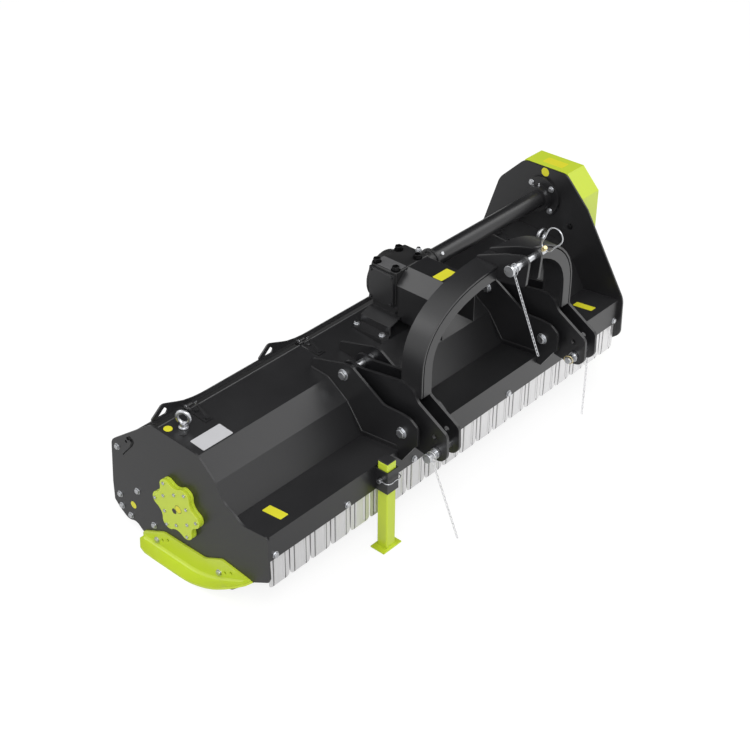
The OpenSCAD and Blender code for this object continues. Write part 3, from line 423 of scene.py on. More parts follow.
class Finishes:
    """Every material of the machine, built once."""

    def __init__(self) -> None:
        """Builds the materials."""
        self.black = PaintFinish("Black powder coat", (0.0095, 0.0095, 0.0105), (0.014, 0.014, 0.0155),
                                 (0.30, 0.40), dust=0.03, gloss=0.66).build()
        self.lime = PaintFinish("Lime paint", (0.60, 0.74, 0.035), (0.64, 0.78, 0.05), (0.26, 0.36),
                                coat=0.2, dust=0.02, dust_color=(0.6, 0.65, 0.3)).build()
        self.cast = CastFinish("Dark casting", (0.005, 0.005, 0.0055), (0.012, 0.012, 0.0125),
                               (0.34, 0.5)).build()
        # Lighter grey: a strip on the gearbox top, and a painted highlight on the roof's rear fold.
        self.lighter_grey = CastFinish("Lighter grey", (0.075, 0.075, 0.078), (0.105, 0.105, 0.108),
                                 (0.5, 0.7)).build()
        self.black_bolt = MetalFinish("Blackened bolt", (0.02, 0.02, 0.021), (0.035, 0.035, 0.036),
                                      (0.3, 0.45)).build()
        self.zinc = MetalFinish("Zinc plate", (0.50, 0.51, 0.53), (0.66, 0.67, 0.69), (0.24, 0.38)).build()
        # Paler zinc for the chains: zinc plate brightened as a painted glare.
        self.pale = MetalFinish("Zinc with painted glare", (0.80, 0.80, 0.81), (0.88, 0.88, 0.89),
                                (0.4, 0.5)).build()
        # Flap steel with thin lines of painted shade beside its pressed beads.
        self.flap = MetalFinish("Flap steel", (0.72, 0.715, 0.72), (0.84, 0.835, 0.84), (0.34, 0.48),
                                stretch=(1.0, 1.0, 0.06), scale=220.0, metallic=0.6,
                                beads=(1.017, 0.1017, 0.28)).build()
        self.steel = MetalFinish("Bare steel", (0.30, 0.30, 0.31), (0.42, 0.42, 0.43), (0.35, 0.5)).build()
        self.yellow = MetalFinish("Yellow zinc", (0.74, 0.60, 0.28), (0.82, 0.70, 0.40), (0.25, 0.4)).build()
        self.sticker = PaintFinish("Yellow sticker", (0.80, 0.76, 0.02), (0.84, 0.80, 0.03), (0.3, 0.4),
                                   depth=0.03).build()
        self.plate = PaintFinish("Silver sticker", (0.55, 0.55, 0.57), (0.62, 0.62, 0.64), (0.28, 0.36),
                                 depth=0.03).build()
        self.rubber = PaintFinish("Belt rubber", (0.01, 0.01, 0.01), (0.016, 0.016, 0.016),
                                  (0.6, 0.75)).build()
        self.by_slot = {Slot.BLACK: self.black, Slot.LIME: self.lime, Slot.CAST: self.cast,
                        Slot.BLACK_BOLT: self.black_bolt, Slot.ZINC: self.zinc, Slot.STEEL: self.steel,
                        Slot.YELLOW_ZINC: self.yellow, Slot.RUBBER: self.rubber}


def paint(obj: bpy.types.Object, material: Material) -> None:
    """Gives an object one material all over."""
    obj.data.materials.clear()
    obj.data.materials.append(material)
    for face in obj.data.polygons:
        face.material_index = 0


def deselect() -> None:
    """Leaves object mode on and nothing selected."""
    if bpy.context.mode != "OBJECT":
        bpy.ops.object.mode_set(mode="OBJECT")
    bpy.ops.object.select_all(action="DESELECT")


def activate(obj: bpy.types.Object) -> None:
    """Selects one object alone and makes it the active one."""
    deselect()
    obj.select_set(True)
    bpy.context.view_layer.objects.active = obj


Test = Callable[[Vector, Vector], bool]


class Blank:
    """A primitive that is shaped in edit mode and then fitted to the machine."""

    def __init__(self, name: str, obj: bpy.types.Object) -> None:
        """Takes the new primitive and gives it its name."""
        obj.name = name
        obj.data.name = name
        self.obj = obj

    @classmethod
    def box(cls, name: str, low: Sequence[float], high: Sequence[float]) -> "Blank":
        """Starts from a box between two corners."""
        deselect()
        low, high = Vector(low), Vector(high)
        bpy.ops.mesh.primitive_cube_add(size=1.0, location=(low + high) / 2, scale=high - low)
        bpy.ops.object.transform_apply(location=True, rotation=True, scale=True)
        return cls(name, bpy.context.object)

    @classmethod
    def rod(cls, name: str, start: Sequence[float], end: Sequence[float], radius: float, sides: int = 32,
            tip: float | None = None) -> "Blank":
        """Starts from a round or many-sided bar.

        Args:
            name: the piece's name.
            start: the middle of its first end.
            end: the middle of its second end.
            radius: its radius.
            sides: its number of sides.
            tip: the radius at the second end, where it differs.

        Returns:
            The new blank.
        """
        deselect()
        start, end = Vector(start), Vector(end)
        turn = (end - start).to_track_quat("Z", "Y").to_euler()
        far = radius if tip is None else tip
        bpy.ops.mesh.primitive_cone_add(vertices=sides, radius1=radius, radius2=far, rotation=turn,
                                        depth=(end - start).length, location=(start + end) / 2)
        bpy.ops.object.transform_apply(location=True, rotation=True, scale=True)
        return cls(name, bpy.context.object)

    @classmethod
    def ring(cls, name: str, centre: Sequence[float], axis: Sequence[float], major: float, minor: float,
             steps: int = 40, sides: int = 14) -> "Blank":
        """Starts from a torus round an axis."""
        deselect()
        turn = Vector(axis).to_track_quat("Z", "Y").to_euler()
        bpy.ops.mesh.primitive_torus_add(location=centre, rotation=turn, major_radius=major,
                                         minor_radius=minor, major_segments=steps, minor_segments=sides)
        bpy.ops.object.transform_apply(location=True, rotation=True, scale=True)
        return cls(name, bpy.context.object)

    @classmethod
    def plate(cls, name: str, outline: Sequence[Point], push: Sequence[float]) -> "Blank":
        """Starts from a flat outline and pulls it to its thickness.

        Args:
            name: the piece's name.
            outline: its corners in order.
            push: the way and length of its thickness.

        Returns:
            The new blank.
        """
        deselect()
        bpy.ops.mesh.primitive_circle_add(vertices=len(outline), radius=1.0, fill_type="NGON",
                                          location=(0, 0, 0))
        blank = cls(name, bpy.context.object)
        for vertex, point in zip(blank.obj.data.vertices, outline):
            vertex.co = point
        blank.all_faces()
        bpy.ops.mesh.extrude_region_move(TRANSFORM_OT_translate={"value": tuple(push)})
        return blank.outward()

    @classmethod
    def grid(cls, name: str, rows: Sequence[Sequence[Point]]) -> "Blank":
        """Starts from a grid whose crossings are moved to the given points."""
        deselect()
        bpy.ops.mesh.primitive_grid_add(x_subdivisions=len(rows[0]) - 1, y_subdivisions=len(rows) - 1,
                                        size=1.0)
        blank = cls(name, bpy.context.object)
        for vertex, point in zip(blank.obj.data.vertices, [p for row in rows for p in row]):
            vertex.co = point
        return blank

    @classmethod
    def wire(cls, name: str, points: Sequence[Sequence[float]], radius: float, closed: bool = False,
             sides: int = 5, straight: bool = False) -> "Blank":
        """Starts from a smooth curve through points, thickened to a round wire.

        Args:
            name: the piece's name.
            points: the points it passes.
            radius: the wire's radius.
            closed: whether it joins its own start.
            sides: the fineness of its round section.
            straight: whether it runs straight from point to point.

        Returns:
            The new blank.
        """
        deselect()
        curve = bpy.data.curves.new(name, "CURVE")
        curve.dimensions = "3D"
        curve.bevel_depth = radius
        curve.bevel_resolution = sides
        curve.resolution_u = 8
        curve.use_fill_caps = True
        spline = curve.splines.new("BEZIER")
        spline.bezier_points.add(len(points) - 1)
        for knot, point in zip(spline.bezier_points, points):
            knot.co = point
            knot.handle_left_type = knot.handle_right_type = "VECTOR" if straight else "AUTO"
        spline.use_cyclic_u = closed
        obj = bpy.data.objects.new(name, curve)
        bpy.context.scene.collection.objects.link(obj)
        activate(obj)
        bpy.ops.object.convert(target="MESH")
        return cls(name, bpy.context.object)

    @classmethod
    def copy_of(cls, name: str, node: str) -> "Blank":
        """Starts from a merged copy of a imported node's mesh."""
        source = frame["nodes"][node]
        obj = source.copy()
        obj.data = source.data.copy()
        obj.parent = None
        bpy.context.scene.collection.objects.link(obj)
        blank = cls(name, obj)
        blank.all_faces()
        bpy.ops.mesh.remove_doubles(threshold=0.00001)
        bpy.ops.mesh.dissolve_limited(angle_limit=math.radians(0.6))
        return blank.done()

    def all_faces(self) -> "Blank":
        """Opens edit mode with every face selected."""
        activate(self.obj)
        bpy.ops.object.mode_set(mode="EDIT")
        bpy.context.tool_settings.mesh_select_mode = (False, False, True)
        bpy.ops.mesh.select_all(action="SELECT")
        return self

    def clear(self, kind: tuple[bool, bool, bool]) -> None:
        """Leaves nothing selected, with corners, edges or faces as the kind that is picked."""
        activate(self.obj)
        bpy.ops.object.mode_set(mode="EDIT")
        bpy.context.tool_settings.mesh_select_mode = kind
        bpy.ops.mesh.select_all(action="DESELECT")
        bpy.ops.object.mode_set(mode="OBJECT")

    def pick(self, test: Test) -> "Blank":
        """Opens edit mode with the faces selected whose centre and normal pass a test."""
        self.clear((False, False, True))
        for face in self.obj.data.polygons:
            face.select = bool(test(face.center, face.normal))
        bpy.ops.object.mode_set(mode="EDIT")
        return self

    def inset(self, thickness: float, depth: float = 0.0) -> "Blank":
        """Insets the selected faces."""
        bpy.ops.mesh.inset(thickness=thickness, depth=depth)
        return self

    def extrude(self, move: Sequence[float]) -> "Blank":
        """Extrudes the selected faces."""
        bpy.ops.mesh.extrude_region_move(TRANSFORM_OT_translate={"value": tuple(move)})
        return self

    def resize(self, factors: Sequence[float], centre: Sequence[float]) -> "Blank":
        """Scales what is selected about a point."""
        bpy.ops.transform.resize(value=tuple(factors), center_override=tuple(centre))
        return self

    def outward(self) -> "Blank":
        """Points every face outwards and closes edit mode."""
        self.all_faces()
        bpy.ops.mesh.normals_make_consistent(inside=False)
        return self.done()

    def done(self) -> "Blank":
        """Closes edit mode."""
        bpy.ops.object.mode_set(mode="OBJECT")
        return self

    def modify(self, kind: str, **settings: object) -> "Blank":
        """Adds a modifier with its settings and applies it."""
        activate(self.obj)
        modifier = self.obj.modifiers.new(kind, kind)
        for label, value in settings.items():
            setattr(modifier, label, value)
        bpy.ops.object.modifier_apply(modifier=modifier.name)
        return self

    def round_corners(self, radius: float, least: float = 17.0) -> "Blank":
        """Rounds the corners of plates that stand square to X.

        Args:
            radius: the corners' radius.
            least: the smallest turn of the outline that is rounded, in degrees.

        Returns:
            The same blank.
        """
        self.clear((False, True, False))
        mesh = self.obj.data
        faces = {}
        for face in mesh.polygons:
            for key in face.edge_keys:
                faces.setdefault(key, []).append((face.normal.copy(), face.area))
        for edge in mesh.edges:
            a, b = (mesh.vertices[i].co for i in edge.vertices)
            sides = faces.get(edge.key, [])
            length = (b - a).length
            across = abs(b.x - a.x) > 0.99 * length and length < 0.02 and len(sides) == 2
            flat = across and max(abs(normal.x) for normal, area in sides) < 0.1
            roomy = flat and min(area for normal, area in sides) > 2.1 * radius * length
            edge.select = bool(roomy and sides[0][0].angle(sides[1][0]) > math.radians(least))
        bpy.ops.object.mode_set(mode="EDIT")
        bpy.ops.mesh.bevel(offset=radius, segments=5, affect="EDGES", clamp_overlap=False)
        return self.done()

    def soften(self, width: float, segments: int = 2, angle: float = 38.0) -> "Blank":
        """Rounds the edges that are sharper than an angle."""
        return self.modify("BEVEL", width=width, segments=segments, limit_method="ANGLE",
                           angle_limit=math.radians(angle), use_clamp_overlap=True)

    def cut(self, tool: "Blank") -> "Blank":
        """Takes another blank's form away and removes it."""
        self.modify("BOOLEAN", operation="DIFFERENCE", object=tool.obj, solver="EXACT")
        bpy.data.objects.remove(tool.obj)
        return self

    def melt(self, voxel: float, rounds: int = 6) -> "Blank":
        """Fuses overlapping forms to one skin, as a casting or forging has."""
        self.modify("REMESH", mode="VOXEL", voxel_size=voxel)
        return self.modify("SMOOTH", factor=0.5, iterations=rounds)

    def smooth(self, angle: float = 32.0) -> "Blank":
        """Shades smooth up to an angle, with the normals led by the larger faces."""
        activate(self.obj)
        bpy.ops.object.shade_smooth_by_angle(angle=math.radians(angle))
        return self.modify("WEIGHTED_NORMAL", keep_sharp=True)


def join(name: str, blanks: Iterable[Blank]) -> Blank:
    """Joins several blanks to one.

    Args:
        name: the joined piece's name.
        blanks: the blanks, which end here.

    Returns:
        The joined blank.
    """
    blanks = list(blanks)
    deselect()
    for blank in blanks:
        blank.obj.select_set(True)
    bpy.context.view_layer.objects.active = blanks[0].obj
    if len(blanks) > 1:
        bpy.ops.object.join()
    return Blank(name, bpy.context.object)


def stamp(name: str, master: Blank, places: Iterable[Matrix]) -> Blank:
    """Copies a master to each place, joins the copies and removes the master.

    Args:
        name: the joined piece's name.
        master: the piece modelled once.
        places: one placement for each copy.

    Returns:
        The joined copies.
    """
    copies = []
    for place in places:
        obj = master.obj.copy()
        obj.data = master.obj.data.copy()
        obj.data.transform(place)
        bpy.context.scene.collection.objects.link(obj)
        copies.append(Blank(name, obj))
    bpy.data.objects.remove(master.obj)
    return join(name, copies)


def fit(blank: Blank, body: Body, material: Material,
        nodes: Sequence[str] = ()) -> bpy.types.Object:
    """Paints a finished piece, hangs it on its body and hides the nodes it stands for.

    Args:
        blank: the finished piece.
        body: the body it moves with.
        material: its finish.
        nodes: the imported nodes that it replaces.

    Returns:
        The piece's object.
    """
    paint(blank.obj, material)
    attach(blank.obj, body.value)
    if nodes:
        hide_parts(*nodes)
    LOG.info("piece %s: %d faces", blank.obj.name, len(blank.obj.data.polygons))
    return blank.obj


def aim(place: Sequence[float], way: Sequence[float]) -> Matrix:
    """Gives the placement that turns a master's Z axis to a direction."""
    return Matrix.Translation(Vector(place)) @ Vector(way).to_track_quat("Z", "Y").to_matrix().to_4x4()


@dataclass
class FrameDress:
    """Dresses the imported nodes: a finish each, and soft edges on the ones that show."""

    finishes: Finishes
    edge: float = 0.0013
    least: float = 14.0
    soft: tuple[tuple[str, Body], ...] = tuple((name, Body.FRAME) for name in (
        "roof_sheet", "front_shelf", "side_plate_left", "side_plate_right", "hinge_leaves", "hitch_ribs",
        "clevis_plates", "arch_skin", "arch_webs", "top_link_ears", "gearbox_stand", "input_guard",
        "drive_tube", "roller_brackets", "skids", "belt_cover", "jack_sleeve", "rotor_bearings")) + (
            ("rear_hood", Body.REAR_FLAP),
            ("roller", Body.ROLLER))

    @property
    def rounded(self) -> dict[str, float]:
        """Gives the corner radius of the plates that stand across the machine."""
        return {"side_plate_left": 0.018, "side_plate_right": 0.02, "clevis_plates": 0.014,
                "hitch_ribs": 0.012, "top_link_ears": 0.012, "skids": 0.012}

    def latch(self) -> Blank:
        """Models the hooked slot of the hood's latch as a form to be cut out."""
        outline = [(708, 427), (687, 444), (669, 436), (665, 425), (676, 404), (737, 334), (740, 336),
                   (690, 398), (682, 416), (690, 423), (704, 418)]
        return Blank.plate("latch", [mm(-1030, y, z) for y, z in outline], mm(20, 0, 0))

    def finish_of(self, name: str, slot: Slot) -> Material:
        """Picks a node's finish."""
        if name.startswith("flaps_"):
            return self.finishes.flap
        # The chains take the paler zinc, brightened as a painted glare.
        return self.finishes.pale if name in ("chain_left", "chain_right") else self.finishes.by_slot[slot]

    def dress(self) -> None:
        """Paints every node and replaces the listed ones by soft-edged copies."""
        for entry in frame["record"]["subparts"]:
            name, slot = entry["node"], Slot(entry["material_slot"])
            material = self.finish_of(name, slot)
            bodies = dict(self.soft)
            if name in bodies:
                copy = Blank.copy_of(f"{name}_formed", name)
                if name == "side_plate_left":
                    copy.cut(self.latch())
                if name in self.rounded:
                    copy.round_corners(self.rounded[name])
                copy.soften(self.edge, 2, self.least).smooth()
                fit(copy, bodies[name], material, [name])
            else:
                paint(frame["nodes"][name], material)
                activate(frame["nodes"][name])
            LOG.info("node %s in %s", name, material.name)


def on_circle(centre: Span, radius: float, turns: Iterable[float]) -> list[Span]:
    """Gives the places on a circle at some turns, in degrees."""
    return [(centre[0] + radius * math.cos(math.radians(turn)),
             centre[1] + radius * math.sin(math.radians(turn))) for turn in turns]


@dataclass
class HexBolt:
    """A hexagon bolt along Z: head below zero, washer, shank, nut and a threaded tail."""

    size: float
    grip: float
    tail: float = 5.0
    nut: bool = True
    pitch: float = 1.75
    rise: float = 0.6
    crown: Point = (0.84, 0.84, 1.0)
    root: float = 0.88

    def model(self) -> Blank:
        """Models the bolt in metres from its sizes in millimetres."""
        size, washer = self.size, self.size * 0.14
        head = Blank.rod("head", mm(0, 0, -washer), mm(0, 0, -size * self.rise), size * 0.92 * MM, 6)
        head.pick(lambda c, n: n.z < -0.9).extrude(mm(0, 0, -size * 0.08))
        head.resize(self.crown, (0, 0, 0)).done()
        parts = [head, Blank.rod("washer", mm(0, 0, 0), mm(0, 0, -washer), size * 1.12 * MM, 28)]
        end = self.grip
        if self.nut:
            nut = Blank.rod("nut", mm(0, 0, end), mm(0, 0, end + size * 0.72), size * 0.92 * MM, 6)
            nut.pick(lambda c, n: n.z > 0.9).extrude(mm(0, 0, size * 0.08))
            nut.resize(self.crown, (0, 0, 0)).done()
            parts.append(nut)
            end += size * 0.8
        parts.append(Blank.rod("shank", mm(0, 0, -washer), mm(0, 0, end), size * 0.5 * MM, 16))
        thread = Blank.rod("thread", mm(0, 0, end), mm(0, 0, end + self.pitch / 2), size * 0.5 * MM, 16)
        thread.pick(lambda c, n: n.z > 0.9)
        for _ in range(int(self.tail / self.pitch)):
            for factor in (self.root, 1 / self.root):
                thread.extrude(mm(0, 0, self.pitch / 2)).resize((factor, factor, 1), (0, 0, 0))
        parts.append(thread.done())
        return join("bolt", parts)


@dataclass
class SideFasteners:
    """Bolts in the two side plates, with sleeves at the stop bolts."""

    finishes: Finishes
    half_width: float = 1025.0
    plate: float = 8.0
    bracket: float = 10.0
    skid: float = 8.0
    size: float = 12.0
    roller: Span = (734.0, 111.0)
    bracket_circle: float = 50.0
    bracket_turns: tuple[float, ...] = (27.0, -36.0, -99.0)
    pivot: Span = (674.0, 203.0)
    skid_tie: Span = (596.0, 87.0)
    stop: Span = (765.0, 359.0)
    skid_bolts: Pairs = ((578.0, 32.0), (247.0, 74.0))
    rotor: Span = (436.0, 262.0)
    bearing_circle: float = 68.0
    stop_depth: float = 30.0
    bearing_depth: float = 22.0

    def both(self, x: float, spots: Iterable[Span]) -> list[Matrix]:
        """Gives the placements on the left plate and, mirrored, on the right one."""
        return [aim(mm(side * x, y, z), (side, 0, 0)) for side in (-1, 1) for y, z in spots]

    def build(self) -> None:
        """Models and fits the bolts."""
        turned = on_circle(self.roller, self.bracket_circle, self.bracket_turns)
        bearing = on_circle(self.rotor, self.bearing_circle, range(30, 390, 60))
        flip = Matrix.Rotation(math.pi, 4, "Y")
        groups = [
            (HexBolt(self.size, self.skid + self.plate), self.half_width + self.skid, self.skid_bolts),
            (HexBolt(self.size, self.plate + self.bracket), self.half_width, turned + [self.pivot]),
            (HexBolt(self.size, self.plate), self.half_width, [self.skid_tie]),
            (HexBolt(self.size, self.plate + self.stop_depth), self.half_width, [self.stop]),
            (HexBolt(10.0, self.plate + self.bearing_depth), self.half_width, bearing)]
        parts = [stamp("side_set", bolt.model(), [place @ flip for place in self.both(x, spots)])
                 for bolt, x, spots in groups]
        sleeve = Blank.rod("sleeve", mm(0, 0, -38), mm(0, 0, -8.1), 14.5 * MM, 32)
        parts.append(stamp("sleeve", sleeve, self.both(self.half_width, [self.stop])))
        fit(join("side_plate_bolts", parts).soften(0.0004, 1).smooth(), Body.FRAME, self.finishes.zinc,
            ["side_bolts"])


@dataclass
class LiftingEyes:
    """Forged lifting eyes on the roof."""

    finishes: Finishes
    spots: tuple[Point, ...] = ((-945.0, 483.0, 539.2), (936.0, 358.0, 529.5))
    ring: float = 24.0
    wire: float = 7.2
    centre: float = 45.0
    turns: Span = (114.0, -3.0)
    roof_slope: float = 4.42
    plug: Point = (-967.0, 461.0, 537.0)

    def build(self) -> None:
        """Models one eye as a forging and copies it."""
        eye = Blank.ring("eye", mm(0, 0, self.centre), (0, 1, 0), self.ring * MM, self.wire * MM, 64, 20)
        neck = Blank.rod("neck", mm(0, 0, 5), mm(0, 0, 22), 13.5 * MM, 40, 8.5 * MM)
        saddle = Blank.rod("saddle", mm(0, 0, 12), mm(0, 0, 24), 9 * MM, 32, 12 * MM)
        foot = Blank.rod("foot", mm(0, 0, 0.1), mm(0, 0, 7), 18 * MM, 48)
        forged = join("forged", [eye, neck, saddle, foot]).melt(0.0011, 8)
        tail = Blank.rod("tail", mm(0, 0, -20), mm(0, 0, 1), 7 * MM, 24)
        nut = Blank.rod("nut", mm(0, 0, -5.1), mm(0, 0, -16), 13 * MM, 6)
        master = join("eye_master", [forged, tail, nut])
        slope = Matrix.Rotation(math.radians(self.roof_slope), 4, "X")
        places = [Matrix.Translation(mm(*spot)) @ slope @ Matrix.Rotation(math.radians(turn), 4, "Z")
                  for spot, turn in zip(self.spots, self.turns)]
        fit(stamp("lifting_eyes", master, places).smooth(50), Body.FRAME, self.finishes.zinc,
            ["eye_bolts"])
        plug = Blank.rod("roof_plug", mm(*self.plug), mm(*self.plug[:2], self.plug[2] + 2.5), 14 * MM, 40)
        fit(plug.soften(0.001, 3).smooth(), Body.FRAME, self.finishes.black)


@dataclass
class BearingCover:
    """The six-lobed cover over the left rotor bearing."""

    finishes: Finishes
    centre: Span = (436.0, 262.0)
    outer_x: float = -1050.0
    plate_x: float = -1025.0
    mean: float = 107.0
    wave: float = 13.5
    waist: float = 4.0
    steps: int = 120
    hole: Span = (443.0, 253.0)

    def outline(self, x: float, less: float) -> list[Point]:
        """Gives the lobed outline at a place across the machine.

        Args:
            x: the place across.
            less: how much smaller it is all round.

        Returns:
            The outline's corners.
        """
        points = []
        for k in range(self.steps):
            turn = 2 * math.pi * k / self.steps
            lobe = math.cos(6 * turn)
            reach = self.mean + self.wave * math.copysign(abs(lobe) ** 0.7, lobe) - less
            points.append(mm(x, self.centre[0] + reach * math.cos(turn),
                             self.centre[1] + reach * math.sin(turn)))
        return points

    def build(self) -> None:
        """Models two plates with a waist between them, the screws and a shallow hole."""
        depth = self.plate_x - self.outer_x
        front = Blank.plate("front", self.outline(self.outer_x, 0), mm(depth * 0.45, 0, 0))
        waist = Blank.plate("waist", self.outline(self.outer_x + 2, self.waist), mm(depth - 2.2, 0, 0))
        back = Blank.plate("back", self.outline(self.outer_x + depth * 0.62, 0.5), mm(depth * 0.37, 0, 0))
        plates = join("plates", [front, waist, back]).soften(0.0016, 3)
        fit(plates.smooth(), Body.FRAME, self.finishes.lime, ["bearing_cover"])
        plates.obj.name = "bearing_cover_plates"
        screw = Blank.rod("screw", mm(0, 0, 0), mm(0, 0, 4.2), 6.4 * MM, 24)
        screw.pick(lambda c, n: n.z > 0.9).inset(0.0016).inset(0.0002).extrude(mm(0, 0, -2.2)).done()
        screw.soften(0.0005, 2)
        spots = on_circle(self.centre, 106.0, range(0, 360, 60))
        spots += on_circle(self.centre, 68.0, range(30, 390, 60))
        places = [aim(mm(self.outer_x, y, z), (-1, 0, 0)) for y, z in spots]
        fit(stamp("bearing_cover_screws", screw, places).smooth(), Body.FRAME, self.finishes.zinc)
        hole = Blank.rod("bearing_cover_hole", mm(self.outer_x, *self.hole),
                         mm(self.outer_x - 0.6, *self.hole), 11 * MM, 32)
        hole.pick(lambda c, n: n.x < -0.9).inset(0.0012).extrude(mm(0.5, 0, 0)).done()
        fit(hole.smooth(), Body.FRAME, self.finishes.black)


@dataclass
class FlapRows:
    """The pressed steel flaps along the front, in four sections."""

    finishes: Finishes
    span: float = 1017.0
    count: int = 20
    rod: Span = (21.0, 276.0)
    width: float = 96.0
    length: float = 146.0
    thickness: float = 3.0
    curl: float = 10.0
    knuckle: float = 32.85
    corner: float = 14.0
    rib_x: float = 22.0
    rib_width: float = 8.0

    def outline(self) -> list[Point]:
        """Gives a flap's outline in its own plane, with its rod at zero."""
        half, knuckle = self.width / 2, self.knuckle / 2
        right = []
        for k in range(7):
            turn = math.radians(-90 + 15 * k)
            right.append((half - self.corner + self.corner * math.cos(turn),
                          self.corner - self.length + self.corner * math.sin(turn)))
        right += [(half, -20.0), (knuckle, -14.0), (knuckle, 0.0)]
        left = [(-x, z) for x, z in reversed(right)]
        return [mm(x, 0, z) for x, z in right + left]

    def master(self, back: bool) -> Blank:
        """Models one flap with its curl and two pressed ribs.

        Args:
            back: whether it hangs in the back row.

        Returns:
            The flap, with its rod at the origin.
        """
        face = self.curl - self.thickness if back else -self.curl
        sheet = Blank.plate("flap", self.outline(), mm(0, self.thickness, 0))
        parts = [sheet.soften(0.0005, 2, 50)]
        for side in (-1, 1):
            x = side * self.rib_x
            rib = Blank.rod("rib", mm(x, 0.2, -24), mm(x, 0.2, 12 - self.length),
                            self.rib_width / 2 * MM, 12)
            parts.append(rib.soften(0.003, 2, 50))
        flap = join("flap", parts)
        flap.obj.data.transform(Matrix.Translation(mm(0, face, 0)))
        half = self.knuckle / 2
        curl = Blank.rod("curl", mm(-half, 0, 0), mm(half, 0, 0), self.curl * MM, 28).soften(0.0008, 2)
        return join("flap", [flap, curl])

    def build(self) -> None:
        """Fits the flaps, front and back, on each section's body."""
        pitch = 2 * self.span / self.count
        each = self.count // 4
        sections = ((Body.FLAPS_1, "flaps_left"), (Body.FLAPS_2, "flaps_mid_left"),
                    (Body.FLAPS_3, "flaps_mid_right"), (Body.FLAPS_4, "flaps_right"))
        for index, (body, node) in enumerate(sections):
            front = [pitch * (index * each + k + 0.5) - self.span for k in range(each)]
            back = [x + pitch / 2 for x in front[:-1]]
            rows = [stamp("row", self.master(row is back),
                          [Matrix.Translation(mm(x, *self.rod)) for x in row]) for row in (front, back)]
            fit(join(f"{node}_pressed", rows).smooth(), body, self.finishes.flap, [node])


@dataclass
class FrontBolts:
    """The flap rod's bolts along the lip, which end in eyes."""

    finishes: Finishes
    span: float = 1017.0
    pitch: float = 101.7
    slots: tuple[int, ...] = (0, 7, 14, 25, 32, 39)
    rod: Span = (21.0, 276.0)
    size: float = 12.0

    def build(self) -> None:
        """Models one bolt and copies it."""
        bolt = HexBolt(self.size, self.rod[0] - 12.0, nut=False).model()
        bolt.obj.data.transform(Matrix.Rotation(math.radians(-90), 4, "X"))
        eye = Blank.ring("eye", mm(0, self.rod[0], 0), (1, 0, 0), 8.1 * MM, 2.0 * MM, 28, 10)
        eye.obj.data.transform(Matrix.Diagonal((1.9, 1, 1, 1)))
        master = join("lip_bolt", [bolt, eye])
        xs = [self.pitch * (0.25 + 0.5 * slot) - self.span for slot in self.slots]
        places = [Matrix.Translation(mm(x, 0, self.rod[1])) for x in xs]
        fit(stamp("lip_eye_bolts", master, places).soften(0.0004, 1).smooth(), Body.FRAME,
            self.finishes.zinc, ["lip_bolts"])


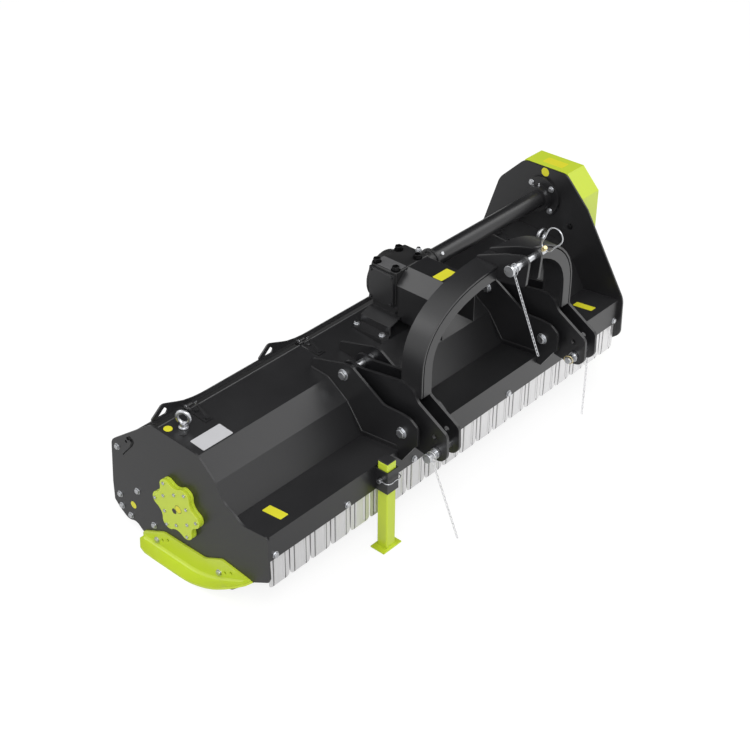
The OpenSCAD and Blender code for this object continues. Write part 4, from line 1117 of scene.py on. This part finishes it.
@dataclass
class Gearbox:
    """The cast gearbox with its top strip, cover and bolts."""

    finishes: Finishes
    centre_x: float = HITCH_X
    half: float = 98.0
    y: Span = (364.0, 492.0)
    z: Span = (628.0, 779.0)
    axis: Span = (423.0, 700.0)
    drum: float = 99.0
    drum_end: float = 512.0
    output: float = 81.0
    drum_z: float = 682.0
    bolt_x: Span = (42.0, 166.0)
    bolt_y: Span = (381.0, 475.0)
    strip_x: Span = (30.0, 92.0)

    def case(self) -> None:
        """Models the casting from overlapping forms and fuses them."""
        x, (y0, y1), (z0, z1) = self.centre_x, self.y, self.z
        body = Blank.box("body", mm(x - self.half, y0, z0), mm(x + self.half, y1, z1)).soften(0.009, 4)
        drum = Blank.rod("drum", mm(x, y1 - 10, self.drum_z), mm(x, self.drum_end, self.drum_z),
                         self.drum * MM, 96)
        lip = Blank.rod("lip", mm(x, y1 - 30, self.drum_z), mm(x, y1 + 8, self.drum_z),
                        (self.drum - 7) * MM, 96)
        neck = Blank.rod("neck", mm(x, y0 - 34, self.axis[1]), mm(x, y0 + 6, self.axis[1]), 44 * MM, 64)
        side = x + self.half
        end = side + self.output
        output = Blank.rod("output", mm(side - 8, *self.axis), mm(end, *self.axis), 40 * MM, 64)
        collar = Blank.rod("collar", mm(end - 11, *self.axis), mm(end, *self.axis), 48 * MM, 64)
        boss = Blank.rod("boss", mm(side - 8, *self.axis), mm(side + 22, *self.axis), 55 * MM, 64, 44 * MM)
        pads = [Blank.rod("pad", mm(px, py, z1 - 6), mm(px, py, z1 + 0.5), 20 * MM, 40)
                for px in self.bolt_x for py in self.bolt_y]
        web = Blank.box("web", mm(side - 4, self.axis[0] - 5, self.axis[1] - 60),
                        mm(side + 50, self.axis[0] + 5, self.axis[1] + 62)).soften(0.004, 2)
        casting = join("case", [body, drum, lip, neck, output, collar, boss, web, *pads]).melt(0.0024, 5)
        bore = Blank.rod("bore", mm(x, y0 - 34.5, self.axis[1]), mm(x, y0 - 20, self.axis[1]), 30 * MM, 48)
        casting.cut(bore)
        fit(casting.smooth(50), Body.FRAME, self.finishes.cast, ["gearbox_case"])

    def cover(self) -> None:
        """Models the side cover with its raised rim and screws."""
        x = self.centre_x - self.half
        (y0, y1), (z0, z1) = self.y, self.z
        plate = Blank.box("plate", mm(x - 10, y0 + 4, z0 + 4), mm(x - 0.05, y1 - 4, z1 - 8))
        plate.pick(lambda c, n: n.x < -0.9).inset(0.004).extrude(mm(-1.5, 0, 0)).done().soften(0.0018, 3)
        screw = HexBolt(7.0, 4.0, nut=False, tail=0.0).model()
        spots = [(y, z) for y in (y0 + 14, y1 - 14) for z in (z0 + 14, z1 - 18)]
        screws = stamp("screws", screw, [aim(mm(x - 11.6, y, z), (1, 0, 0)) for y, z in spots])
        fit(join("gearbox_side_cover", [plate, screws]).smooth(), Body.FRAME, self.finishes.black,
            ["gearbox_cover"])

    def strip(self) -> None:
        """Models the lighter grey strip along the top of the case."""
        top = self.z[1]
        strip = Blank.box("gearbox_top_strip", mm(self.strip_x[0], self.y[0] + 8, top - 2),
                          mm(self.strip_x[1], self.y[1] - 8, top + 2.5))
        fit(strip.soften(0.002, 3).smooth(), Body.FRAME, self.finishes.lighter_grey)

    def bolts(self) -> None:
        """Models the case bolts."""
        flip = Matrix.Rotation(math.pi, 4, "X")
        bolt = HexBolt(16.5, 8.0, nut=False, tail=0.0, rise=1.0).model()
        places = [Matrix.Translation(mm(x, y, self.z[1] + 0.6)) @ flip
                  for x in self.bolt_x for y in self.bolt_y]
        fit(stamp("gearbox_case_bolts", bolt, places).soften(0.0008, 2).smooth(), Body.FRAME,
            self.finishes.black_bolt, ["gearbox_bolts"])

    def build(self) -> None:
        """Builds the pieces."""
        self.case()
        self.strip()
        self.cover()
        self.bolts()


@dataclass
class ZincBolts:
    """Tube flange bolts, idler pivot bolt, stand bolts, grease nipples and the breather."""

    finishes: Finishes
    inner: float = 1017.0
    axis: Span = (423.0, 700.0)
    half: float = 50.0
    pivot: Span = (272.0, 610.0)
    stand_x: Span = (-57.0, 299.0)
    stand_y: Span = (358.0, 486.0)
    foot_top: float = 548.0
    roof_under: Span = (521.5, 531.4)
    breather: Point = (204.0, 408.0, 779.0)

    def nipple(self, height: float) -> Blank:
        """Models a grease nipple along Z."""
        base = Blank.rod("base", mm(0, 0, 0), mm(0, 0, height * 0.45), 4.4 * MM, 6)
        stem = Blank.rod("stem", mm(0, 0, height * 0.3), mm(0, 0, height), 2.6 * MM, 16, 1.8 * MM)
        ball = Blank.rod("ball", mm(0, 0, height * 0.8), mm(0, 0, height), 3.2 * MM, 16, 2.2 * MM)
        return join("nipple", [base, stem, ball])

    def build(self) -> None:
        """Models and fits the group."""
        flange = HexBolt(12.0, 20.0).model()
        spots = [(self.axis[0] + i * self.half, self.axis[1] + j * self.half)
                 for i in (-1, 1) for j in (-1, 1)]
        parts = [stamp("flange", flange, [aim(mm(self.inner - 12, y, z), (1, 0, 0)) for y, z in spots])]
        pivot = HexBolt(12.0, 26.4, tail=2.0).model()
        pivot = stamp("idler_pivot_bolt", pivot, [aim(mm(self.inner, *self.pivot), (1, 0, 0))])
        fit(pivot.soften(0.0005, 1).smooth(), Body.FRAME, self.finishes.black_bolt)
        for y, under in zip(self.stand_y, self.roof_under):
            stand = HexBolt(12.0, self.foot_top - under, tail=2.0).model()
            places = [aim(mm(x, y, self.foot_top), (0, 0, -1)) for x in self.stand_x]
            parts.append(stamp("stand", stand, places))
        spot = mm(self.inner - 30, self.axis[0], self.axis[1] + 54.3)
        parts.append(stamp("nipple", self.nipple(15.0), [aim(spot, (0, 0, 1))]))
        turn = math.radians(50)
        way = Vector((0, -math.sin(turn), math.cos(turn)))
        plug = Blank.rod("plug", mm(0, 0, -0.5), mm(0, 0, 6), 8.2 * MM, 6)
        parts.append(stamp("plug", plug, [aim(mm(330, *self.axis) + way * 36.3 * MM, way)]))
        foot = mm(*self.breather)
        parts += [Blank.rod("base", foot, foot + mm(0, 0, 9), 13 * MM, 6),
                  Blank.rod("neck", foot, foot + mm(0, 0, 14), 6.5 * MM, 24),
                  Blank.rod("cap", foot + mm(0, 0, 12), foot + mm(0, 0, 20), 10.5 * MM, 32, 7.5 * MM)]
        fit(join("zinc_bolts", parts).soften(0.0005, 1).smooth(), Body.FRAME, self.finishes.zinc,
            ["tube_bolts"])


@dataclass
class HitchPins:
    """Through bolts of the hitch, the three hitch pins and the linchpin with its hoop."""

    finishes: Finishes
    centre_x: float = HITCH_X
    pitch: float = HITCH_PITCH
    rib: float = RIB_HALF
    plate: float = 39.0
    bolts: Pairs = ((263.0, 572.0), (-17.0, 453.0))
    low: Span = (-145.0, 410.0)
    top: Span = (-164.0, 1007.0)
    hole_x: float = 191.0
    lean: float = 33.0
    spacers: Pairs = ((10.2, 40.8), (53.2, 106.8), (119.2, 149.8))

    def sides(self) -> Span:
        """Gives the middles of the two lower hitch points."""
        return self.centre_x - self.pitch / 2, self.centre_x + self.pitch / 2

    def through(self) -> None:
        """Models the through bolts and their spacer tubes."""
        bolt = HexBolt(20.0, 2 * self.rib, tail=6.0, pitch=2.5).model()
        tubes = [Blank.rod("spacer", mm(0, 0, a), mm(0, 0, b), 16 * MM, 32).soften(0.001, 2)
                 for a, b in self.spacers]
        master = join("through", [bolt, *tubes])
        places = [aim(mm(x - self.rib, y, z), (1, 0, 0)) for x in self.sides() for y, z in self.bolts]
        bolts = stamp("hitch_through_bolts", master, places).soften(0.0006, 1, 50)
        fit(bolts.smooth(), Body.FRAME, self.finishes.zinc, ["hitch_bolts"])

    def turned(self, name: str, centre: Point, steps: Sequence[Point]) -> Blank:
        """Turns a pin from its steps.

        Args:
            name: the piece's name.
            centre: the place of its zero.
            steps: start, end and radius of each step across the machine.

        Returns:
            The pin with soft edges.
        """
        x, y, z = centre
        rods = [Blank.rod("step", mm(x + a, y, z), mm(x + b, y, z), r * MM, 40).soften(0.0014, 3)
                for a, b, r in steps]
        return join(name, rods)

    def pins(self) -> None:
        """Fits the lower pins and the top pin."""
        lower = [(-89, 73, 14), (-95, -85, 19), (-82, -79, 15.5),
                 (-51, -39.5, 20), (-60, -56, 16), (69, 77, 18)]
        short = [(-74, 73, 14), (-86, -76, 13.5), (-51, -39.5, 20), (69, 77, 18)]
        for x, body, node in zip(self.sides(), (Body.LOW_PIN_LEFT, Body.LOW_PIN_RIGHT),
                                 ("lower_pin_left", "lower_pin_right")):
            steps = short if body is Body.LOW_PIN_RIGHT else lower
            pin = self.turned(f"{node}_turned", (x, *self.low), steps)
            fit(pin.smooth(), body, self.finishes.zinc, [node])
        clip = Blank.ring("pin_clip", mm(self.sides()[1] - 77, *self.low), (1, 0.25, 0.1),
                          18 * MM, 1.5 * MM, 40, 10)
        fit(clip.smooth(50), Body.LOW_PIN_RIGHT, self.finishes.yellow)
        top = [(-110, 86, 12.5), (-118, -106, 21), (-104, -101, 15), (-82, -70, 17), (-91, -87, 14.5)]
        pin = self.turned("top_link_pin_turned", (self.centre_x, *self.top), top)
        fit(pin.smooth(), Body.TOP_PIN, self.finishes.zinc, ["top_link_pin"])

    def linchpin(self) -> None:
        """Fits the linchpin and its tall hoop."""
        lean = Matrix.Rotation(math.radians(self.lean), 4, "X")
        place = Matrix.Translation(mm(self.hole_x, *self.top)) @ lean
        shank = Blank.rod("shank", mm(0, 0, -26), mm(0, 0, 16), 5 * MM, 24).soften(0.0015, 3)
        head = Blank.rod("head", mm(0, 0, 12.9), mm(0, 0, 28.9), 9 * MM, 32).soften(0.003, 3)
        pin = join("linchpin", [shank, head])
        pin.obj.data.transform(place)
        fit(pin.smooth(), Body.TOP_PIN, self.finishes.yellow, ["lynch_pin"])
        arc = [(0, y, z) for y, z in on_circle((0, 94.5), 32, range(0, 181, 20))]
        route = [(0, 0, 21.5), (0, 14, 21.5), (0, 19, 25), (0, 25, 58), *arc,
                 (0, -25, 58), (0, -19, 25), (0, -14, 21.5), (0, -3, 21.5)]
        hoop = Blank.wire("linchpin_hoop", [mm(*p) for p in route], 2.5 * MM)
        hoop.obj.data.transform(place)
        fit(hoop.smooth(50), Body.SNAP_RING, self.finishes.zinc, ["lynch_ring"])

    def build(self) -> None:
        """Builds every piece of the group."""
        self.through()
        self.pins()
        self.linchpin()


@dataclass
class ParkingStand:
    """The square leg with foot and cap, and its lock pin with a sprung bow."""

    finishes: Finishes
    x: float = -463.0
    y: float = -29.5
    side: float = 48.0
    top: float = 390.0
    foot: Point = (98.0, 66.0, 6.0)
    pin_z: float = 318.0
    sleeve: float = 59.0

    def leg(self) -> None:
        """Models the leg, its foot, the weld between them and the cap."""
        half = self.side / 2
        tube = Blank.box("tube", mm(self.x - half, self.y - half, self.foot[2]),
                         mm(self.x + half, self.y + half, self.top))
        tube.soften(0.006, 4)
        width, depth, height = self.foot
        foot = Blank.box("foot", mm(self.x - width / 2, self.y - depth / 2, 0),
                         mm(self.x + width / 2, self.y + depth / 2, height)).soften(0.0014, 3)
        spots = [mm(self.x + i * half, self.y + j * half, self.foot[2] + 0.5)
                 for i, j in ((-1, -1), (1, -1), (1, 1), (-1, 1))]
        weld = Blank.wire("weld", spots, 2.6 * MM, closed=True, sides=3, straight=True)
        fit(join("stand_leg_tube", [tube, foot, weld]).smooth(), Body.STAND_LEG, self.finishes.lime,
            ["jack_leg"])
        cap = Blank.box("stand_leg_cap", mm(self.x - half, self.y - half, self.top),
                        mm(self.x + half, self.y + half, self.top + 5))
        fit(cap.soften(0.002, 3).smooth(), Body.STAND_LEG, self.finishes.black)

    def pin(self) -> None:
        """Models the lock pin and its sprung wire bow."""
        reach = self.sleeve / 2 + 10
        steps = [(-reach - 6, -24.4, 6.0), (24.4, reach, 6.0), (-reach - 6, -self.sleeve / 2 - 0.4, 9.0)]
        rods = [Blank.rod("step", mm(self.x + a, self.y, self.pin_z), mm(self.x + b, self.y, self.pin_z),
                          r * MM, 28).soften(0.001, 2) for a, b, r in steps]
        end = reach - 3
        route = [(-end, 0, 0), (-end, -14, -1), (-end, -reach + 8, 0), (-end + 8, -reach, 0), (0, -reach, 0),
                 (end - 8, -reach, 0), (end, -reach + 8, 0), (end, -14, 1), (end, 0, 0)]
        bow = Blank.wire("bow", [mm(self.x + a, self.y + b, self.pin_z + c) for a, b, c in route], 2 * MM)
        fit(join("stand_lock_pin", [*rods, bow]).smooth(50), Body.STAND_PIN, self.finishes.zinc,
            ["jack_pin"])

    def build(self) -> None:
        """Builds the leg and the pin."""
        self.leg()
        self.pin()


@dataclass
class RearEdge:
    """Hook plates on the hood, hinge bolts, straps and the roof's folded rear edge, a rod painted lighter
    grey as a painted highlight.
    """

    finishes: Finishes
    half: float = 1013.0
    second: float = -498.0
    y: Span = (566.0, 573.0)
    foot: float = 555.5
    hinges: tuple[float, ...] = (-857.0, -292.0, 420.0, 857.0)
    axis: Span = (562.0, 545.5)
    outline: Pairs = (
        (0, 0), (0, 12), (44, 47), (52, 49), (62, 47.5), (96, 35),
        (122, 25), (150, 15.5), (193, 7.5), (244, 3), (280, 0))
    window: Pairs = ((24, 5), (56, 32), (60, 33), (71, 21), (72, 17), (66, 8), (60, 5))
    knob_at: Span = (-996.0, 232.0)
    bar: tuple[Point, ...] = (
        (2, 466, 0.3), (24, 539, 0.3), (24, 539, 6), (22, 534, 9), (16, 518, 12), (2, 466, 8))
    fold_y: float = 543.5

    def hook(self, x: float, side: int) -> Blank:
        """Models one hook plate with its window.

        Args:
            x: where its outer end stands.
            side: 1 where it runs to the right, -1 where it runs to the left.

        Returns:
            The plate.
        """
        plate = Blank.plate("hook", [mm(x + side * a, self.y[0], self.foot + b) for a, b in self.outline],
                            mm(0, self.y[1] - self.y[0], 0))
        corners = [mm(x + side * a, self.y[0] - 5, self.foot + b) for a, b in self.window]
        window = Blank.plate("window", corners, mm(0, self.y[1] - self.y[0] + 10, 0))
        return plate.cut(window)

    def knob(self) -> None:
        """Models the lime knob that shows behind the left side plate."""
        x, z = self.knob_at
        stud = Blank.rod("stud", mm(x, 790, z), mm(x, 806, z), 6 * MM, 24)
        grip = Blank.rod("grip", mm(x, 802, z), mm(x, 819, z), 15 * MM, 40).soften(0.004, 4)
        fit(join("hood_knob_turned", [stud, grip]).smooth(50), Body.REAR_FLAP, self.finishes.lime,
            ["hood_knob"])

    def build(self) -> None:
        """Builds the pieces of the rear edge."""
        self.knob()
        hooks = [self.hook(-self.half, 1), self.hook(self.half, -1), self.hook(self.second, 1)]
        fit(join("rear_hook_plates", hooks).soften(0.0013, 2, 14).smooth(), Body.REAR_FLAP,
            self.finishes.black, ["rear_hooks"])
        bolt = HexBolt(9.6, 38.0, tail=4.0).model()
        places = [aim(mm(x - 8, *self.axis), (1, 0, 0)) for x in self.hinges]
        sleeves = [Blank.rod("sleeve", mm(x - 6, *self.axis), mm(x + 28, *self.axis), 8.5 * MM, 32)
                   for x in self.hinges]
        fit(join("hinge_sleeves", sleeves).soften(0.001, 2).smooth(), Body.FRAME, self.finishes.black)
        fit(stamp("hinge_bolts", bolt, places).soften(0.0004, 1).smooth(), Body.FRAME, self.finishes.zinc)
        bars = [Blank.plate("bar", [mm(x + a, y, roof_height(y) + up) for a, y, up in self.bar], mm(12, 0, 0))
                for x in self.hinges]
        fit(join("hinge_strap_bars", bars).soften(0.0012, 2).smooth(), Body.FRAME, self.finishes.black)
        # Painted highlight: a round rod in lighter grey along the roof's rear fold stands in for the edge's
        # bright line.
        height = roof_height(self.fold_y)
        fold_highlight_rod = Blank.rod("roof_rear_fold_painted_highlight", mm(-self.half + 4, self.fold_y, height),
                         mm(self.half - 4, self.fold_y, height), 2.2 * MM, 12)
        fit(fold_highlight_rod.smooth(50), Body.FRAME, self.finishes.lighter_grey)


@dataclass
class SkidFillets:
    """The rounded inner corner between each skid's flange and its sole."""

    finishes: Finishes
    plate: float = 1033.0
    radius: float = 15.0
    line: Pairs = (
        (645, 8), (500, 8), (400, 8), (370, 9.6), (340, 13.7),
        (300, 24.5), (262, 38.2), (225, 54.8), (160, 86.5), (120, 106))

    def build(self) -> None:
        """Sweeps a hollow quarter round along each corner."""
        fillets = []
        for side in (-1, 1):
            rows = []
            for y, z in self.line:
                row = []
                for k in range(7):
                    turn = math.radians(15 * k)
                    row.append(mm(side * (self.plate - 0.5 + self.radius * (1 - math.sin(turn))), y,
                                  z - 0.5 + self.radius * (1 - math.cos(turn))))
                rows.append(row)
            fillet = Blank.grid("fillet", rows).modify("SOLIDIFY", thickness=0.0015, offset=-side)
            fillets.append(fillet.outward())
        fit(join("skid_fillets", fillets).smooth(50), Body.FRAME, self.finishes.lime)


@dataclass
class WeldBeads:
    """Weld beads along the feet of the hitch ribs."""

    finishes: Finishes
    centre_x: float = HITCH_X
    pitch: float = HITCH_PITCH
    rib: float = RIB_HALF
    radius: float = 3.0
    ripple: float = 7.0
    foot: Pairs = ((2.0, 385.0), (173.6, 365.6), (246.0, 465.0), (339.0, 528.0), (424.0, 534.6))

    def bead(self, start: Vector, end: Vector) -> Blank:
        """Models a bead as a row of overlapping drops along a line.

        Args:
            start: its first point.
            end: its last point.

        Returns:
            The bead.
        """
        length = (end - start).length
        count = max(2, int(length / (self.ripple * MM)))
        drops = [Blank.rod("bead", start, end, self.radius * MM, 8)]
        step = (end - start) / count
        for k in range(count):
            place = start + step * (k + 0.5)
            drops.append(Blank.rod("drop", place - step * 0.42, place + step * 0.42,
                                   self.radius * 1.18 * MM, 8, self.radius * 0.9 * MM))
        return join("bead", drops)

    def build(self) -> None:
        """Lays the beads along both feet of every rib."""
        beads = []
        for side in (-1, 1):
            middle = self.centre_x + side * self.pitch / 2
            for x in (middle - self.rib, middle + self.rib):
                for (y0, z0), (y1, z1) in zip(self.foot, self.foot[1:]):
                    beads.append(self.bead(mm(x, y0, z0), mm(x, y1, z1)))
        fit(join("hitch_weld_beads", beads).smooth(40), Body.FRAME, self.finishes.black)


@dataclass
class Labels:
    """Bare label plates where the machine carries its stickers."""

    finishes: Finishes
    lift: float = 0.35

    def disc(self, name: str, place: Vector, way: Vector, radius: float) -> None:
        """Makes one bare round sticker with a dark rim."""
        rim = Blank.rod(f"{name}_rim", place, place + way * self.lift * MM, (radius + 1.6) * MM, 36)
        fit(rim, Body.FRAME, self.finishes.black)
        face = Blank.rod(name, place, place + way * (self.lift + 0.15) * MM, radius * MM, 36)
        fit(face, Body.FRAME, self.finishes.sticker)

    def sticker(self, name: str, corners: Sequence[Sequence[float]], push: Sequence[float],
                material: Material) -> None:
        """Makes one bare sticker with rounded corners.

        Args:
            name: the piece's name.
            corners: its four corners in millimetres.
            push: its thickness as a vector in millimetres.
            material: its finish.
        """
        blank = Blank.plate(name, [mm(*c) for c in corners], mm(*push))
        way = Vector(push).normalized()
        blank.clear((False, True, False))
        for edge in blank.obj.data.edges:
            a, b = (blank.obj.data.vertices[i].co for i in edge.vertices)
            edge.select = abs((b - a).normalized().dot(way)) > 0.9
        bpy.ops.object.mode_set(mode="EDIT")
        bpy.ops.mesh.bevel(offset=0.004, segments=4, affect="EDGES")
        fit(blank.done(), Body.FRAME, material)

    def on_roof(self, x0: float, x1: float, y0: float, y1: float,
                z: Callable[[float], float]) -> list[Point]:
        """Gives the corners of a sticker on a sloped sheet."""
        return [(x0, y0, z(y0)), (x1, y0, z(y0)), (x1, y1, z(y1)), (x0, y1, z(y1))]

    def build(self) -> None:
        """Makes the stickers."""
        def shelf(y: float) -> float:
            """Height of the shelf's top face."""
            return 367.0 - 19.4 * y / 173.6 + 0.02

        def roof(y: float) -> float:
            """Height just over the top panel's face."""
            return roof_height(y) + 0.02

        yellow, silver = self.finishes.sticker, self.finishes.plate
        self.sticker("label_roof_plate", self.on_roof(-979, -841, 345, 414, roof), (0, 0, 0.5), silver)
        spots = (("label_shelf_left", (-923, -884, 41, 131), shelf),
                 ("label_shelf_right", (872, 906, 37, 130), shelf),
                 ("label_guard", (88, 172, 197, 242), lambda y: 786.02),
                 ("label_cover", (1055, 1103, 362, 462), lambda y: 834.02 - 4 * (y - 312) / 216))
        for name, area, height in spots:
            self.sticker(name, self.on_roof(*area, height), (0, 0, self.lift), yellow)
        lean = Vector((0, -16, 207)).normalized()
        self.disc("label_roof_round", mm(-988, 515, roof(515)), lean, 16)
        for name, spot, radius in (("label_plate_right", (1017, 417, 811), 19),
                                   ("label_plate_left", (-1025, 706, 121), 15),
                                   ("label_cover_left", (-1050, 421, 272), 15)):
            self.disc(name, mm(*spot), Vector((-1, 0, 0)), radius)


@dataclass(frozen=True)
class Studio:
    """Floor, lamps, world and camera."""

    centre: Point = (-3.617, -2.785, 3.627)
    azimuth: float = -48.25
    elevation: float = 34.47
    roll: float = 0.387
    lens: float = 72.17
    sensor: float = 36.0
    sky: float = 0.6
    floor_paint: float = 0.2
    floor_glow: float = 0.87
    mirror: Span = (0.47, 1.0)
    slant: Span = (-0.6, 1.2)
    card_place: Point = (2.8, 2.6, 2.8)
    card_size: float = 5.0

    def camera(self) -> None:
        """Places the camera where the photograph was taken from."""
        azimuth, elevation, roll = (math.radians(v) for v in (self.azimuth, self.elevation, self.roll))
        back = Vector((math.sin(azimuth) * math.cos(elevation), -math.cos(azimuth) * math.cos(elevation),
                       math.sin(elevation)))
        right = (-back).cross(Vector((0, 0, 1))).normalized()
        up = right.cross(-back)
        level = right * math.cos(roll) + up * math.sin(roll)
        lift = up * math.cos(roll) - right * math.sin(roll)
        data = bpy.data.cameras.new("Photo camera")
        data.sensor_width = self.sensor
        data.sensor_fit = "HORIZONTAL"
        data.lens = self.lens
        data.clip_end = 60.0
        camera = bpy.data.objects.new("Photo camera", data)
        bpy.context.scene.collection.objects.link(camera)
        turn = Matrix((level, lift, back)).transposed()
        camera.matrix_world = Matrix.Translation(Vector(self.centre)) @ turn.to_4x4()
        bpy.context.scene.camera = camera

    def seen(self, tree: Tree) -> Socket:
        """Gives 1 for the rays that the camera, gloss and glass send, and 0 for the others."""
        path = add(tree, "LightPath").outputs
        return work(tree, "MAXIMUM", work(tree, "MAXIMUM", path["Is Camera Ray"], path["Is Glossy Ray"]),
                    path["Is Transmission Ray"])

    def floor(self) -> None:
        """Lays a pale floor, white with a faint shadow, that mirrors brighter to the front right."""
        bpy.ops.mesh.primitive_plane_add(size=60.0, location=(0, 0, 0))
        floor = bpy.context.object
        floor.name = "studio_floor"
        shader = Shader("Pale floor")
        shader.plain(Roughness=1.0, Specular_IOR_Level=0.0, Emission_Color=(1, 1, 1, 1))
        tree = shader.tree
        mask = self.seen(tree)
        shader.link(shader.mix(mask, (0.8, 0.8, 0.8), (self.floor_paint,) * 3), "Base Color")
        coords, split = add(tree, "TexCoord"), add(tree, "SeparateXYZ")
        slant = add(tree, "MapRange", From_Min=self.slant[0], From_Max=self.slant[1], To_Min=self.mirror[0],
                    To_Max=self.mirror[1])
        tree.links.new(coords.outputs["Object"], split.inputs["Vector"])
        tree.links.new(work(tree, "SUBTRACT", split.outputs["X"], split.outputs["Y"]), slant.inputs["Value"])
        glow = add(tree, "Mix")
        tree.links.new(add(tree, "LightPath").outputs["Is Glossy Ray"], glow.inputs["Factor"])
        glow.inputs["A"].default_value = self.floor_glow
        tree.links.new(slant.outputs["Result"], glow.inputs["B"])
        shader.link(work(tree, "MULTIPLY", mask, glow.outputs["Result"]), "Emission Strength")
        paint(floor, shader.material)

    def card(self) -> None:
        """Hangs the dark card that the top faces mirror, unseen by the camera and by diffuse light."""
        bpy.ops.mesh.primitive_plane_add(size=1.0, location=self.card_place)
        card = bpy.context.object
        card.name = "studio_dark_card"
        card.scale = (self.card_size, self.card_size, 1)
        toward = Vector((0.2, 0.4, 0.5)) - Vector(self.card_place)
        card.rotation_euler = toward.to_track_quat("Z", "Y").to_euler()
        shader = Shader("Dark card")
        shader.plain(Base_Color=(0.01, 0.01, 0.01, 1), Roughness=1.0, Specular_IOR_Level=0.0)
        paint(card, shader.material)
        card.visible_camera = card.visible_diffuse = card.visible_shadow = False

    def lamp(self, name: str, place: Point, target: Point, size: Span, power: float) -> None:
        """Adds a soft lamp.

        Args:
            name: the lamp's name.
            place: where it hangs.
            target: the point it faces.
            size: its two sides.
            power: its power in watts.
        """
        data = bpy.data.lights.new(name, "AREA")
        data.shape = "RECTANGLE"
        data.size, data.size_y = size
        data.energy = power
        lamp = bpy.data.objects.new(name, data)
        bpy.context.scene.collection.objects.link(lamp)
        lamp.location = place
        lamp.rotation_euler = (Vector(target) - Vector(place)).to_track_quat("-Z", "Y").to_euler()

    def light(self) -> None:
        """Sets the lamps and the world: white where it is seen or mirrored, softer as light."""
        world = bpy.data.worlds.new("Pale room")
        world.use_nodes = True
        background = world.node_tree.nodes["Background"]
        background.inputs["Color"].default_value = (1, 1, 1, 1)
        strength = add(world.node_tree, "MapRange", To_Min=self.sky, To_Max=1.0)
        world.node_tree.links.new(self.seen(world.node_tree), strength.inputs["Value"])
        world.node_tree.links.new(strength.outputs["Result"], background.inputs["Strength"])
        bpy.context.scene.world = world
        self.lamp("Key", (-3.0, -3.0, 5.0), (0, 0.3, 0.4), (3.0, 3.0), 150.0)
        self.lamp("Overhead softbox", (2.5, -1.3, 3.4), (0, 0.3, 0.4), (3.5, 1.6), 25.0)
        self.lamp("Rear softbox", (-2.2, 2.9, 3.4), (0.1, 0.3, 0.7), (2.0, 1.6), 20.0)

    def build(self) -> None:
        """Builds the whole studio."""
        self.camera()
        self.floor()
        self.card()
        self.light()
        bpy.context.scene.view_settings.view_transform = "Standard"


def main() -> None:
    """Builds the scene in order."""
    logging.basicConfig(level=logging.INFO, format="%(message)s")
    Studio().build()
    finishes = Finishes()
    FrameDress(finishes).dress()
    SideFasteners(finishes).build()
    LiftingEyes(finishes).build()
    BearingCover(finishes).build()
    FlapRows(finishes).build()
    FrontBolts(finishes).build()
    Gearbox(finishes).build()
    ZincBolts(finishes).build()
    HitchPins(finishes).build()
    ParkingStand(finishes).build()
    RearEdge(finishes).build()
    SkidFillets(finishes).build()
    WeldBeads(finishes).build()
    Labels(finishes).build()


if __name__ == "__main__":
    main()
